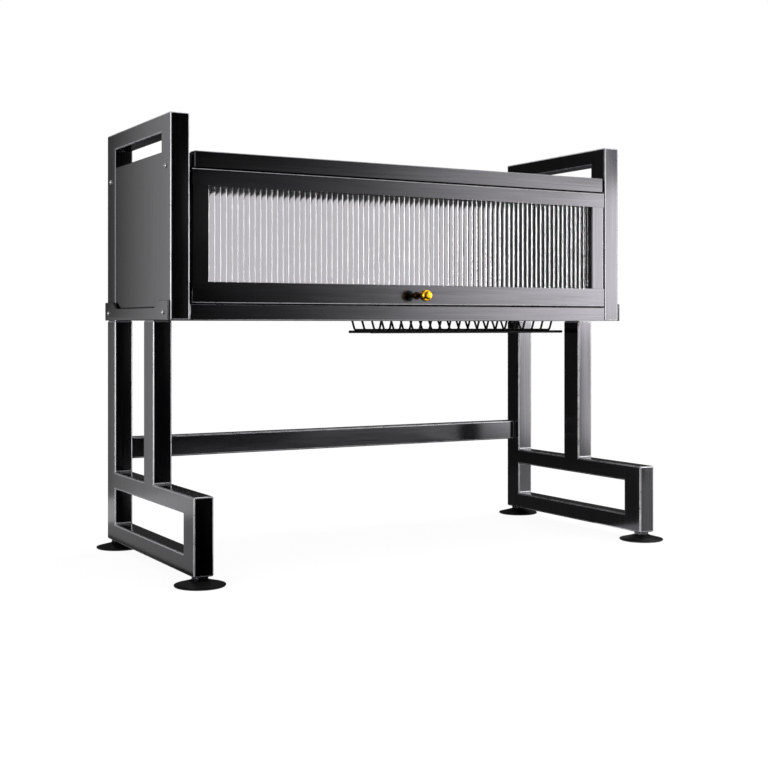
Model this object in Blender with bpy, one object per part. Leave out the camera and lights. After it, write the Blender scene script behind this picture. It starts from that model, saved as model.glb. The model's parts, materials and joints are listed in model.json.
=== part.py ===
"""Over-sink dish rack: two welded steel side frames carry a cabinet with a fluted glass flap door.

Lengths are in metres. X runs from left to right as seen from the front, Y from front to back and Z up.
The origin is on the floor, under the middle of the rack. Left pieces lie at negative X.
"""

import math

import bmesh
import bpy
from mathutils import Vector

# Overall sizes
RACK_WIDTH = 0.850
BASE_DEPTH = 0.401
CABINET_DEPTH = 0.305
RACK_HEIGHT = 0.693
JOINT_HEIGHT = 0.382
STEP_HEIGHT = 0.1295

# Gaps between pieces that touch, and how far a cut runs past the face that it opens
SEAT_GAP = 0.0003
OVERRUN = 0.002
MERGE = 0.000001

# Square steel tube of the side frames
TUBE_WIDTH = 0.031
TUBE_WALL = 0.0012
TUBE_ROUND = 0.0025
ROUND_STEPS = 2

# Lower side frame
REAR_POST_DEPTH = 0.040
MID_POST_DEPTH = 0.0443
LEG_GAP = 0.1447
FRONT_POST_DEPTH = 0.0429
BASE_BAR_HEIGHT = 0.0288
STEP_BAR_HEIGHT = 0.028

# Upper side hoop
HOOP_POST_DEPTH = 0.040
SILL_HEIGHT = 0.0193
TOP_BAR_HEIGHT = 0.028
HANDLE_GAP = 0.0286

# Inner tubes that join a hoop to its lower frame
CONNECTOR_WALL = 0.002
CONNECTOR_REACH = 0.050

# Plate over each joint
PLATE_THICKNESS = 0.004
PLATE_MIDDLE_HEIGHT = 0.0195
PLATE_EAR_HEIGHT = 0.030
PLATE_EAR_DEPTH = 0.040
PLATE_SLOPE = 0.020

# Rails between the two sides
RAIL_WALL = 0.0012
RAIL_END_PLATE = 0.006
CROSSBAR_LIFT = 0.020
CROSSBAR_HEIGHT = 0.036
CROSSBAR_DEPTH = 0.0245
BOTTOM_RAIL_HEIGHT = 0.0239
BOTTOM_RAIL_DEPTH = 0.032
TOP_RAIL_HEIGHT = 0.030
TOP_SCREW_DROP = 0.022
TOP_RAIL_DEPTH = 0.020
BAR_ROUND = 0.001

# Side screws
SCREW_RADIUS = 0.002
SCREW_GRIP = 0.0045
SCREW_HEAD_RADIUS = 0.0035
SCREW_HEAD_EDGE = 0.0008
SCREW_HEAD_HEIGHT = 0.0022
SCREW_GAP = 0.0003

# Folded sheet of the side panels and the top panel
SHEET = 0.001
FOLD = 0.0016
PANEL_RECESS = 0.0015
PANEL_FLANGE = 0.020
LID_END_GAP = 0.0065
LID_PROUD = 0.0022
LID_LIP = 0.0243
SWING_GAP = 0.0005

# Flap door
DOOR_PROUD = 0.002
DOOR_THICKNESS = 0.016
DOOR_BACK_GAP = 0.002
DOOR_TOP_GAP = 0.0024
DOOR_BOTTOM_GAP = 0.002
DOOR_END_GAP = 0.003
DOOR_TOP_RAIL_HEIGHT = 0.025
DOOR_BOTTOM_RAIL_HEIGHT = 0.0314
STILE_WIDTH = 0.0245
STILE_INSET = 0.0015
DOOR_WALL = 0.0012
GROOVE_DEPTH = 0.007
GROOVE_WIDTH = 0.0065

# Fluted glass and its seal
GLASS_BASE = 0.003
FLUTE_HEIGHT = 0.0012
FLUTE_PITCH = 0.0095
FLUTE_STEPS = 3
GLASS_GRIP = 0.006
GASKET_SHOW = 0.001
GASKET_THICKNESS = 0.0013

# Corner keys, hinge pins and bushes
KEY_REACH_SHARE = 0.1235
HINGE_SETBACK = 0.0065
HINGE_DROP = 0.0055
PIN_RADIUS = 0.00175
PIN_BLOCK_LENGTH = 0.020
PIN_REACH = 0.0060
PIN_RUNNING_GAP = 0.00015
BUSH_RADIUS = 0.0026
BUSH_LENGTH = 0.008
BUSH_FLANGE_RADIUS = 0.0034
BUSH_FLANGE = 0.0008
HINGE_SIDES = 16

# Door magnets
MAGNET_WIDTH = 0.008
MAGNET_DEPTH = 0.012
MAGNET_HEIGHT = 0.025
MAGNET_LIFT = 0.009

# Knob and its screw
KNOB_HEIGHT = 0.0147
KNOB_FOOT_RADIUS = 0.0065
KNOB_FOOT_EDGE = 0.0006
KNOB_FOOT_LENGTH = 0.0022
KNOB_STEM_RADIUS = 0.0038
KNOB_WAIST_RADIUS = 0.0032
KNOB_WAIST = 0.010
KNOB_NECK = 0.019
KNOB_HEAD_RADIUS = 0.0095
KNOB_HEAD_BACK = 0.024
KNOB_HEAD_FRONT = 0.0335
KNOB_LENGTH = 0.037
KNOB_HOLE_RADIUS = 0.0017
KNOB_HOLE_DEPTH = 0.012
KNOB_SCREW_RADIUS = 0.0014
KNOB_SCREW_HEAD_RADIUS = 0.0035
KNOB_SCREW_HEAD = 0.0018
KNOB_SIDES = 20

# Levelling feet
FOOT_HEIGHT = 0.0145
FOOT_INSET = 0.0155
PAD_RADIUS = 0.0375
PAD_CHAMFER = 0.0008
PAD_RIM = 0.0025
PAD_SHOULDER_RADIUS = 0.031
PAD_SHOULDER_HEIGHT = 0.0042
PAD_NECK_RADIUS = 0.0185
PAD_NECK_HEIGHT = 0.0075
PAD_TOP_RADIUS = 0.0135
PAD_TOP_HEIGHT = 0.0093
SOCKET_FLOOR = 0.004
STUD_FOOT_RADIUS = 0.0055
STUD_RADIUS = 0.004
STUD_TOP = 0.045
NUT_RADIUS = 0.013
INSERT_RADIUS = 0.009
INSERT_HEIGHT = 0.012
STUD_GAP = 0.0004
PAD_SIDES = 28
STUD_SIDES = 16
NUT_SIDES = 6

# Wire racks
WIRE_RADIUS = 0.0019
ROD_RADIUS = 0.0024
PLATE_WIRE_PITCH = 0.020
BOWL_WIRE_PITCH = 0.025
WIRE_BEND = 0.006
WIRE_SIDE_LEVEL = 1
WELD_DEPTH = 0.0008
RIM_SETBACK = 0.0265
RIM_OVERHANG = 0.003
RACK_END_GAP = 0.010
RACKS_GAP = 0.008
PLATE_RACK_LENGTH = 0.407
PLATE_WIRES_START = 0.014
PLATE_WIRES_END = 0.030
TROUGH_DEPTH = 0.04636
TROUGH_FRONT_SHOULDER = 0.0619
TROUGH_BACK_SHOULDER = 0.0547
TROUGH_FRONT_SLOPE = 0.0192
TROUGH_BACK_SLOPE = 0.0263
BOWL_WIRES_MARGIN = 0.008
BOWL_DEPTH = 0.020
BOWL_SHOULDER = 0.028
BOWL_SLOPE = 0.010
BOWL_ROD_SHARES = (0.06, 0.5, 0.94)

SMALL_SIDES = 12
SHARP_ANGLE = math.radians(35)

# Places that follow from the sizes above
outer_x = RACK_WIDTH / 2
inner_x = outer_x - TUBE_WIDTH
post_x = outer_x - TUBE_WIDTH / 2
back_y = BASE_DEPTH / 2
front_y = -BASE_DEPTH / 2
cabinet_front = back_y - CABINET_DEPTH
rear_post_front = back_y - REAR_POST_DEPTH
mid_post_back = rear_post_front - LEG_GAP
mid_post_front = mid_post_back - MID_POST_DEPTH
front_post_back = front_y + FRONT_POST_DEPTH
base_top = FOOT_HEIGHT + BASE_BAR_HEIGHT
step_bottom = STEP_HEIGHT - STEP_BAR_HEIGHT
sill_top = JOINT_HEIGHT + SILL_HEIGHT
top_bar_bottom = RACK_HEIGHT - TOP_BAR_HEIGHT
panel_top = top_bar_bottom - HANDLE_GAP
hoop_front_inside = cabinet_front + HOOP_POST_DEPTH
hoop_back_inside = back_y - HOOP_POST_DEPTH
front_screw_y = cabinet_front + HOOP_POST_DEPTH / 2
rear_screw_y = back_y - HOOP_POST_DEPTH / 2
bottom_rail_top = JOINT_HEIGHT + BOTTOM_RAIL_HEIGHT
low_screw_z = JOINT_HEIGHT + BOTTOM_RAIL_HEIGHT / 2
lid_top = panel_top + SEAT_GAP
lid_under = lid_top - SHEET
lip_bottom = lid_top - LID_LIP
lid_end = inner_x - LID_END_GAP
top_rail_top = lid_under - SEAT_GAP
top_rail_bottom = top_rail_top - TOP_RAIL_HEIGHT
high_screw_z = top_rail_top - TOP_SCREW_DROP
rail_end = inner_x - SEAT_GAP

door_front = cabinet_front - DOOR_PROUD
door_back = door_front + DOOR_THICKNESS
door_top = lip_bottom - DOOR_TOP_GAP
door_bottom = bottom_rail_top + DOOR_BOTTOM_GAP
door_end = inner_x - DOOR_END_GAP
stile_outer = door_end - STILE_INSET
stile_inner = stile_outer - STILE_WIDTH
glass_low = door_bottom + DOOR_BOTTOM_RAIL_HEIGHT
glass_high = door_top - DOOR_TOP_RAIL_HEIGHT
groove_front = (door_front + door_back - GROOVE_WIDTH) / 2
groove_back = groove_front + GROOVE_WIDTH
hinge_y = door_front + HINGE_SETBACK
hinge_z = door_top - HINGE_DROP
key_reach = KEY_REACH_SHARE * (glass_high - glass_low)
top_rail_front = door_back + DOOR_BACK_GAP

SIDES = {"left": -1, "right": 1}


def clear_scene():
    for thing in list(bpy.data.objects):
        bpy.data.objects.remove(thing)


def finish(name, colour, roughness, metallic):
    """A plain material: colour is linear red, green and blue."""
    look = bpy.data.materials.new(name)
    look.use_nodes = True
    shader = look.node_tree.nodes["Principled BSDF"]
    shader.inputs["Base Color"].default_value = (*colour, 1)
    shader.inputs["Roughness"].default_value = roughness
    shader.inputs["Metallic"].default_value = metallic
    return look


def add_object(name, bm, look, at=(0, 0, 0), turn=(0, 0, 0), parent=None):
    """The shape as a named object, its faces pointing out, at this place in the world."""
    bmesh.ops.recalc_face_normals(bm, faces=bm.faces)
    mesh = bpy.data.meshes.new(name)
    bm.to_mesh(mesh)
    bm.free()
    mesh.materials.append(look)
    piece = bpy.data.objects.new(name, mesh)
    bpy.context.collection.objects.link(piece)
    piece.location = at
    piece.rotation_euler = turn
    if parent:
        piece.parent = parent
        piece.location -= parent.location
    return piece


def add_axis(name, at):
    """An empty that marks a joint's axis and carries the pieces that move with it."""
    axis = bpy.data.objects.new(name, None)
    bpy.context.collection.objects.link(axis)
    axis.location = at
    return axis


def block(name, low, high, look=None, parent=None):
    """A box between two corners."""
    low, high = Vector(low), Vector(high)
    bm = bmesh.new()
    bmesh.ops.create_cube(bm, size=1)
    bmesh.ops.scale(bm, vec=high - low, verts=bm.verts)
    return add_object(name, bm, look, at=(low + high) / 2, parent=parent)


def drawn_out(bm, faces, by):
    """Draws the faces out into a closed solid."""
    grown = bmesh.ops.extrude_face_region(bm, geom=faces)["geom"]
    moved = [part for part in grown if isinstance(part, bmesh.types.BMVert)]
    bmesh.ops.translate(bm, vec=by, verts=moved)


def lattice(name, ys, zs, cells, half_width, look=None, at=(0, 0, 0)):
    """A flat frame: cells of a grid of lines across Y and Z, drawn out along X."""
    bm = bmesh.new()
    corner = {}
    for i, y in enumerate(ys):
        for k, z in enumerate(zs):
            corner[i, k] = bm.verts.new((-half_width, y, z))
    faces = []
    for i, k in cells:
        faces.append(bm.faces.new([corner[i, k], corner[i + 1, k], corner[i + 1, k + 1], corner[i, k + 1]]))
    spare = [vert for vert in bm.verts if not vert.link_faces]
    bmesh.ops.delete(bm, geom=spare, context="VERTS")
    drawn_out(bm, faces, (2 * half_width, 0, 0))
    return add_object(name, bm, look, at=at)


def bar_along_x(name, outline, half_length, look=None, at=(0, 0, 0), parent=None):
    """An outline of (y, z) points drawn out along X, equally far to both sides."""
    bm = bmesh.new()
    face = bm.faces.new([bm.verts.new((-half_length, y, z)) for y, z in outline])
    drawn_out(bm, [face], (2 * half_length, 0, 0))
    return add_object(name, bm, look, at=at, parent=parent)


def bar_along_z(name, outline, low, high, look=None, at=(0, 0, 0), parent=None):
    """An outline of (x, y) points drawn out along Z."""
    bm = bmesh.new()
    face = bm.faces.new([bm.verts.new((x, y, low)) for x, y in outline])
    drawn_out(bm, [face], (0, 0, high - low))
    return add_object(name, bm, look, at=at, parent=parent)


def turned(name, profile, sides, look=None, at=(0, 0, 0), turn=(0, 0, 0), parent=None, ring=False):
    """A round piece: (radius, height) points spun about Z. A ring's profile closes on itself."""
    bm = bmesh.new()
    points = [bm.verts.new((radius, 0, height)) for radius, height in profile]
    lines = [bm.edges.new(pair) for pair in zip(points, points[1:])]
    if ring:
        lines.append(bm.edges.new((points[-1], points[0])))
    bmesh.ops.spin(bm, geom=points + lines, cent=(0, 0, 0), axis=(0, 0, 1), angle=2 * math.pi, steps=sides)
    bmesh.ops.remove_doubles(bm, verts=bm.verts, dist=MERGE)
    piece = add_object(name, bm, look, at=at, turn=turn, parent=parent)
    piece.data.shade_smooth()
    piece.data.set_sharp_from_angle(angle=SHARP_ANGLE)
    return piece


def cylinder(name, radius, low, high, sides, look=None, **place):
    profile = [(0, low), (radius, low), (radius, high), (0, high)]
    return turned(name, profile, sides, look, **place)


def outwards(side):
    """The turn that points a round piece's axis out of this side of the rack."""
    return (0, side * math.pi / 2, 0)


def cut(piece, cutter):
    """Takes the cutter's shape out of the piece."""
    cutter.hide_render = True
    cutter.display_type = "WIRE"
    change = piece.modifiers.new(cutter.name, "BOOLEAN")
    change.operation = "DIFFERENCE"
    change.object = cutter


def weld(piece, other):
    """Makes the other shape part of the piece."""
    cut(piece, other)
    piece.modifiers[other.name].operation = "UNION"


def round_edges(piece, width, steps=ROUND_STEPS):
    bevel = piece.modifiers.new("rounded_edges", "BEVEL")
    bevel.width = width
    bevel.segments = steps
    bevel.limit_method = "ANGLE"
    bevel.angle_limit = SHARP_ANGLE


def square_tube(name, low, high, axis, wall, end_wall, look, width=BAR_ROUND, steps=1, parent=None):
    """A hollow bar along one axis. With no end wall its ends are open."""
    tube = block(name, low, high, look, parent)
    round_edges(tube, width, steps)
    inset = Vector((wall, wall, wall))
    inset[axis] = end_wall if end_wall else -OVERRUN
    hollow = block(name + "_hollow", Vector(low) + inset, Vector(high) - inset, parent=parent)
    cut(tube, hollow)
    return tube


def folded_tray(name, low, high, open_side, look):
    """A sheet folded into a shallow tray. open_side is the direction that its mouth faces."""
    low, high = Vector(low), Vector(high)
    bm = bmesh.new()
    bmesh.ops.create_cube(bm, size=1)
    mouth = [face for face in bm.faces if face.normal.dot(Vector(open_side)) > 0.5]
    bmesh.ops.delete(bm, geom=mouth, context="FACES")
    bmesh.ops.scale(bm, vec=high - low, verts=bm.verts)
    tray = add_object(name, bm, look, at=(low + high) / 2)
    round_edges(tray, FOLD)
    wall = tray.modifiers.new("sheet", "SOLIDIFY")
    wall.thickness = SHEET
    wall.offset = -1
    wall.use_even_offset = True
    return tray


def make_finishes():
    return {
        "frame": finish("frame_black", (0.012, 0.012, 0.013), 0.38, 0.6),
        "panel": finish("panel_black", (0.045, 0.045, 0.047), 0.42, 0.7),
        "door": finish("door_black", (0.020, 0.020, 0.021), 0.35, 0.8),
        "wire": finish("wire_black", (0.006, 0.006, 0.006), 0.4, 0.3),
        "glass": finish("fluted_glass", (0.80, 0.82, 0.83), 0.08, 0.0),
        "brass": finish("brass", (0.62, 0.38, 0.06), 0.18, 1.0),
        "rubber": finish("rubber", (0.010, 0.010, 0.010), 0.55, 0.0),
        "zinc": finish("zinc", (0.55, 0.55, 0.56), 0.3, 1.0),
        "nylon": finish("nylon", (0.02, 0.02, 0.02), 0.5, 0.0),
    }


# Side frames


def leg_frame_lines(wall, top):
    """The grid lines of the lower side frame, moved into its steel by the wall."""
    ys = (
        front_y + wall,
        front_post_back - wall,
        mid_post_front + wall,
        mid_post_back - wall,
        rear_post_front + wall,
        back_y - wall,
    )
    zs = (FOOT_HEIGHT + wall, base_top - wall, step_bottom + wall, STEP_HEIGHT - wall, top)
    return ys, zs


def leg_frame_cells():
    """Columns are front post, gap, mid post, gap and rear post. Rows go up from the base bar."""
    base_bar = [(column, 0) for column in range(5)]
    step_bar = [(column, 2) for column in range(5)]
    posts = [(0, 1), (4, 1), (2, 3), (4, 3)]
    return base_bar + step_bar + posts


def hoop_lines(wall):
    ys = (cabinet_front + wall, hoop_front_inside - wall, hoop_back_inside + wall, back_y - wall)
    zs = (JOINT_HEIGHT + wall, sill_top - wall, top_bar_bottom + wall, RACK_HEIGHT - wall)
    return ys, zs


def hoop_cells():
    return [(column, row) for column in range(3) for row in range(3) if (column, row) != (1, 1)]


def hollow_frame(name, lines, hollow_lines, cells, side, look):
    """A welded frame of square tube, rounded outside and hollow inside."""
    at = (side * post_x, 0, 0)
    frame = lattice(name, *lines, cells, TUBE_WIDTH / 2, look, at=at)
    round_edges(frame, TUBE_ROUND)
    cut(frame, lattice(name + "_hollow", *hollow_lines, cells, TUBE_WIDTH / 2 - TUBE_WALL, at=at))
    return frame


def make_leg_frame(name, side, looks):
    frame = hollow_frame(
        f"{name}_leg_frame",
        leg_frame_lines(0, JOINT_HEIGHT - SEAT_GAP),
        leg_frame_lines(TUBE_WALL, JOINT_HEIGHT + OVERRUN),
        leg_frame_cells(),
        side,
        looks["frame"],
    )
    for end, foot_y in foot_places():
        hole = cylinder(
            f"{name}_{end}_stud_hole",
            STUD_RADIUS + STUD_GAP,
            FOOT_HEIGHT - OVERRUN,
            FOOT_HEIGHT + TUBE_WALL + OVERRUN,
            STUD_SIDES,
            at=(side * post_x, foot_y, 0),
        )
        cut(frame, hole)


def connector_places():
    """Name, front, back and height above the joint of the inner tubes on each side."""
    clear = TUBE_WALL + SEAT_GAP
    in_sill = SILL_HEIGHT - clear
    return [
        ("rear_connector", rear_post_front + clear, back_y - clear, CONNECTOR_REACH),
        ("mid_connector", mid_post_front + clear, mid_post_back - clear, in_sill),
    ]


def make_side_hoop(name, side, looks):
    hoop = hollow_frame(
        f"{name}_side_hoop", hoop_lines(0), hoop_lines(TUBE_WALL), hoop_cells(), side, looks["frame"]
    )
    half = TUBE_WIDTH / 2 - TUBE_WALL
    for place, low_y, high_y, _ in connector_places():
        mouth = block(
            f"{name}_{place}_mouth",
            (side * post_x - half, low_y - SEAT_GAP, JOINT_HEIGHT - OVERRUN),
            (side * post_x + half, high_y + SEAT_GAP, JOINT_HEIGHT + TUBE_WALL + OVERRUN),
        )
        cut(hoop, mouth)
    for screw_name, y, z, _ in screw_places():
        cut(hoop, screw_hole(f"{name}_{screw_name}_post_hole", side, y, z, inner_x, outer_x))
    cut(
        hoop,
        cylinder(
            f"{name}_bush_hole",
            BUSH_RADIUS + SEAT_GAP,
            inner_x - OVERRUN,
            inner_x + TUBE_WALL + OVERRUN,
            HINGE_SIDES,
            at=(0, hinge_y, hinge_z),
            turn=outwards(side),
        ),
    )


def make_connectors(name, side, looks):
    """Inner tubes in the tops of the posts. The rear one is crossed by the low rear screw."""
    half = TUBE_WIDTH / 2 - TUBE_WALL - SEAT_GAP
    for place, low_y, high_y, rise in connector_places():
        connector = square_tube(
            f"{name}_{place}",
            (side * post_x - half, low_y, JOINT_HEIGHT - CONNECTOR_REACH),
            (side * post_x + half, high_y, JOINT_HEIGHT + rise),
            2,
            CONNECTOR_WALL,
            0,
            looks["zinc"],
        )
        if low_y < rear_screw_y < high_y:
            hole_name = f"{name}_{place}_screw_hole"
            cut(connector, screw_hole(hole_name, side, rear_screw_y, low_screw_z, inner_x, outer_x))


def make_side_panel(name, side, looks):
    """The panel hangs in the hoop over the sill, and its mouth faces the cabinet."""
    face = outer_x - PANEL_RECESS
    ends = sorted((side * face, side * (face - PANEL_FLANGE)))
    folded_tray(
        f"{name}_side_panel",
        (ends[0], hoop_front_inside + SEAT_GAP, sill_top + SEAT_GAP),
        (ends[1], hoop_back_inside - SEAT_GAP, panel_top),
        (-side, 0, 0),
        looks["panel"],
    )


def make_joint_plate(name, side, looks):
    """A plate over the joint, with a raised ear over each post."""
    ear_top = JOINT_HEIGHT + PLATE_EAR_HEIGHT
    middle_top = JOINT_HEIGHT + PLATE_MIDDLE_HEIGHT
    outline = [
        (cabinet_front, JOINT_HEIGHT),
        (back_y, JOINT_HEIGHT),
        (back_y, ear_top),
        (back_y - PLATE_EAR_DEPTH, ear_top),
        (back_y - PLATE_EAR_DEPTH - PLATE_SLOPE, middle_top),
        (cabinet_front + PLATE_EAR_DEPTH + PLATE_SLOPE, middle_top),
        (cabinet_front + PLATE_EAR_DEPTH, ear_top),
        (cabinet_front, ear_top),
    ]
    half = (PLATE_THICKNESS - SEAT_GAP) / 2
    middle = outer_x + SEAT_GAP + half
    plate = bar_along_x(f"{name}_joint_plate", outline, half, looks["frame"], at=(side * middle, 0, 0))
    round_edges(plate, BAR_ROUND, 1)
    for screw_name, y, z, on_plate in screw_places():
        if on_plate:
            outer = outer_x + PLATE_THICKNESS
            cut(plate, screw_hole(f"{name}_{screw_name}_plate_hole", side, y, z, outer_x, outer))


# Screws through the posts into the rails


def screw_places():
    """Name, place and whether the head seats on the joint plate."""
    return [
        ("front_low_screw", front_screw_y, low_screw_z, True),
        ("rear_low_screw", rear_screw_y, low_screw_z, True),
        ("front_high_screw", front_screw_y, high_screw_z, False),
        ("rear_high_screw", rear_screw_y, high_screw_z, False),
    ]


def screw_hole(name, side, y, z, low_x, high_x):
    """A cutter across the walls between two distances from the rack's middle."""
    return cylinder(
        name,
        SCREW_RADIUS + SCREW_GAP,
        low_x - OVERRUN,
        high_x + OVERRUN,
        SMALL_SIDES,
        at=(0, y, z),
        turn=outwards(side),
    )


def make_screws(name, side, looks):
    tip = rail_end - SCREW_GRIP
    for screw_name, y, z, on_plate in screw_places():
        seat = outer_x + SEAT_GAP + (PLATE_THICKNESS if on_plate else 0)
        profile = [
            (0, tip),
            (SCREW_RADIUS, tip),
            (SCREW_RADIUS, seat),
            (SCREW_HEAD_RADIUS, seat),
            (SCREW_HEAD_RADIUS, seat + SCREW_HEAD_EDGE),
            (SCREW_HEAD_RADIUS / 2, seat + SCREW_HEAD_HEIGHT),
            (0, seat + SCREW_HEAD_HEIGHT),
        ]
        full_name = f"{name}_{screw_name}"
        turned(full_name, profile, SMALL_SIDES, looks["zinc"], at=(0, y, z), turn=outwards(side))


# Rails


def make_crossbar(looks):
    low_z = STEP_HEIGHT + CROSSBAR_LIFT
    square_tube(
        "rear_crossbar",
        (-rail_end, back_y - CROSSBAR_DEPTH, low_z),
        (rail_end, back_y, low_z + CROSSBAR_HEIGHT),
        0,
        TUBE_WALL,
        0,
        looks["frame"],
        TUBE_ROUND,
        ROUND_STEPS,
    )


def rail_places():
    """Name, front, depth, bottom, height and screw place of the rails that carry the cabinet."""
    low = (BOTTOM_RAIL_DEPTH, JOINT_HEIGHT, BOTTOM_RAIL_HEIGHT)
    high = (TOP_RAIL_DEPTH, top_rail_bottom, TOP_RAIL_HEIGHT)
    rear_top_front = rear_screw_y - TOP_RAIL_DEPTH / 2
    return [
        ("front_bottom_rail", cabinet_front, *low, front_screw_y, low_screw_z),
        ("rear_bottom_rail", back_y - BOTTOM_RAIL_DEPTH, *low, rear_screw_y, low_screw_z),
        ("front_top_rail", top_rail_front, *high, front_screw_y, high_screw_z),
        ("rear_top_rail", rear_top_front, *high, rear_screw_y, high_screw_z),
    ]


def make_rails(looks):
    for name, front, depth, bottom, height, screw_y, screw_z in rail_places():
        low = (-rail_end, front, bottom)
        high = (rail_end, front + depth, bottom + height)
        rail = square_tube(name, low, high, 0, RAIL_WALL, RAIL_END_PLATE, looks["panel"])
        for side_name, side in SIDES.items():
            inner = rail_end - RAIL_END_PLATE
            hole_name = f"{name}_{side_name}_hole"
            cut(rail, screw_hole(hole_name, side, screw_y, screw_z, inner, rail_end))


def make_top_panel(looks):
    """A lid folded down all round, notched at its ends for the top rails and the door's swing."""
    lid = folded_tray(
        "top_panel",
        (-lid_end, cabinet_front - LID_PROUD, lip_bottom),
        (lid_end, back_y, lid_top),
        (0, 0, -1),
        looks["panel"],
    )
    for name, front, depth, *_ in rail_places()[2:]:
        notch = block(
            f"{name}_notch",
            (-lid_end - OVERRUN, front - SEAT_GAP, lip_bottom - OVERRUN),
            (lid_end + OVERRUN, front + depth + SEAT_GAP, lid_under),
        )
        cut(lid, notch)
    swing_top = hinge_z + math.hypot(HINGE_SETBACK, HINGE_DROP) + SWING_GAP
    relief = block(
        "door_swing_relief",
        (-lid_end - OVERRUN, cabinet_front - LID_PROUD + FOLD, lip_bottom - OVERRUN),
        (lid_end + OVERRUN, top_rail_front, swing_top),
    )
    cut(lid, relief)


# Flap door


def grooved_outline(edge, outer):
    """A frame bar's section as (place, y) points. The glass groove opens in the edge."""
    floor = edge + math.copysign(GROOVE_DEPTH, outer - edge)
    return [
        (outer, door_front),
        (outer, door_back),
        (edge, door_back),
        (edge, groove_back),
        (floor, groove_back),
        (floor, groove_front),
        (edge, groove_front),
        (edge, door_front),
    ]


def bore_span(edge, outer):
    """Where the hollow of a door bar starts and ends, between its groove and its outer wall."""
    away = math.copysign(1, outer - edge)
    return sorted((edge + away * (GROOVE_DEPTH + DOOR_WALL), outer - away * DOOR_WALL))


def key_section(side):
    """Low and high corners in X and Y of a corner key, which fills a stile's hollow."""
    ends = bore_span(side * stile_inner, side * stile_outer)
    return (
        (ends[0] + SEAT_GAP, door_front + DOOR_WALL + SEAT_GAP),
        (ends[1] - SEAT_GAP, door_back - DOOR_WALL - SEAT_GAP),
    )


def make_door_rail(name, edge, outer, hinge, looks):
    outline = [(y - hinge_y, z - hinge_z) for z, y in grooved_outline(edge, outer)]
    rail = bar_along_x(name, outline, door_end, looks["door"], at=hinge.location, parent=hinge)
    bore = bore_span(edge, outer)
    hollow = block(
        name + "_hollow",
        (-door_end - OVERRUN, door_front + DOOR_WALL, bore[0]),
        (door_end + OVERRUN, door_back - DOOR_WALL, bore[1]),
        parent=hinge,
    )
    cut(rail, hollow)
    up = math.copysign(1, outer - edge)
    levels = sorted((edge - up * OVERRUN, edge + up * (GROOVE_DEPTH + SEAT_GAP)))
    for side_name, side in SIDES.items():
        low, high = key_section(side)
        mortise = block(
            f"{name}_{side_name}_mortise",
            (low[0] - SEAT_GAP, low[1] - SEAT_GAP, levels[0]),
            (high[0] + SEAT_GAP, high[1] + SEAT_GAP, levels[1]),
            parent=hinge,
        )
        cut(rail, mortise)
    return rail


def make_stile(name, side, hinge, looks):
    low = glass_low + SEAT_GAP - hinge_z
    high = glass_high - SEAT_GAP - hinge_z
    outline = [(x, y - hinge_y) for x, y in grooved_outline(side * stile_inner, side * stile_outer)]
    stile = bar_along_z(name, outline, low, high, looks["door"], at=hinge.location, parent=hinge)
    bore = bore_span(side * stile_inner, side * stile_outer)
    hollow = block(
        name + "_hollow",
        (bore[0], door_front + DOOR_WALL, glass_low - OVERRUN),
        (bore[1], door_back - DOOR_WALL, glass_high + OVERRUN),
        parent=hinge,
    )
    cut(stile, hollow)


def make_corner_keys(name, side, hinge, looks):
    """Bars that sit half in a stile's hollow and half in the mortise of a rail."""
    low, high = key_section(side)
    block(
        f"{name}_lower_key",
        (*low, glass_low - GROOVE_DEPTH),
        (*high, glass_low + key_reach),
        looks["zinc"],
        parent=hinge,
    )
    block(
        f"{name}_upper_key",
        (*low, glass_high - key_reach),
        (*high, glass_high + GROOVE_DEPTH),
        looks["zinc"],
        parent=hinge,
    )


def make_glass(hinge, looks):
    """A sheet with a flat back and upright rounded flutes on its front."""
    half = stile_inner + GLASS_GRIP
    flutes = round(2 * half / FLUTE_PITCH)
    steps = flutes * FLUTE_STEPS
    crest = groove_front + SEAT_GAP
    valley = crest + FLUTE_HEIGHT
    back = valley + GLASS_BASE
    outline = [(-half, back - hinge_y), (half, back - hinge_y)]
    for step in range(steps, -1, -1):
        swell = math.sin(math.pi * (step % FLUTE_STEPS) / FLUTE_STEPS)
        outline.append((half * (2 * step / steps - 1), valley - FLUTE_HEIGHT * swell - hinge_y))
    low = glass_low - GLASS_GRIP - hinge_z
    high = glass_high + GLASS_GRIP - hinge_z
    bar_along_z("fluted_glass", outline, low, high, looks["glass"], at=hinge.location, parent=hinge)


def make_gasket(hinge, looks):
    """A flat rubber ring between the back of the glass and the back wall of the groove."""
    outer = stile_inner + GLASS_GRIP
    inner = stile_inner - GASKET_SHOW
    front = groove_front + SEAT_GAP + FLUTE_HEIGHT + GLASS_BASE + SEAT_GAP
    back = front + GASKET_THICKNESS
    ring = block(
        "glass_gasket",
        (-outer, front, glass_low - GLASS_GRIP),
        (outer, back, glass_high + GLASS_GRIP),
        looks["rubber"],
        parent=hinge,
    )
    window = block(
        "gasket_window",
        (-inner, front - OVERRUN, glass_low + GASKET_SHOW),
        (inner, back + OVERRUN, glass_high - GASKET_SHOW),
        parent=hinge,
    )
    cut(ring, window)


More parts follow.
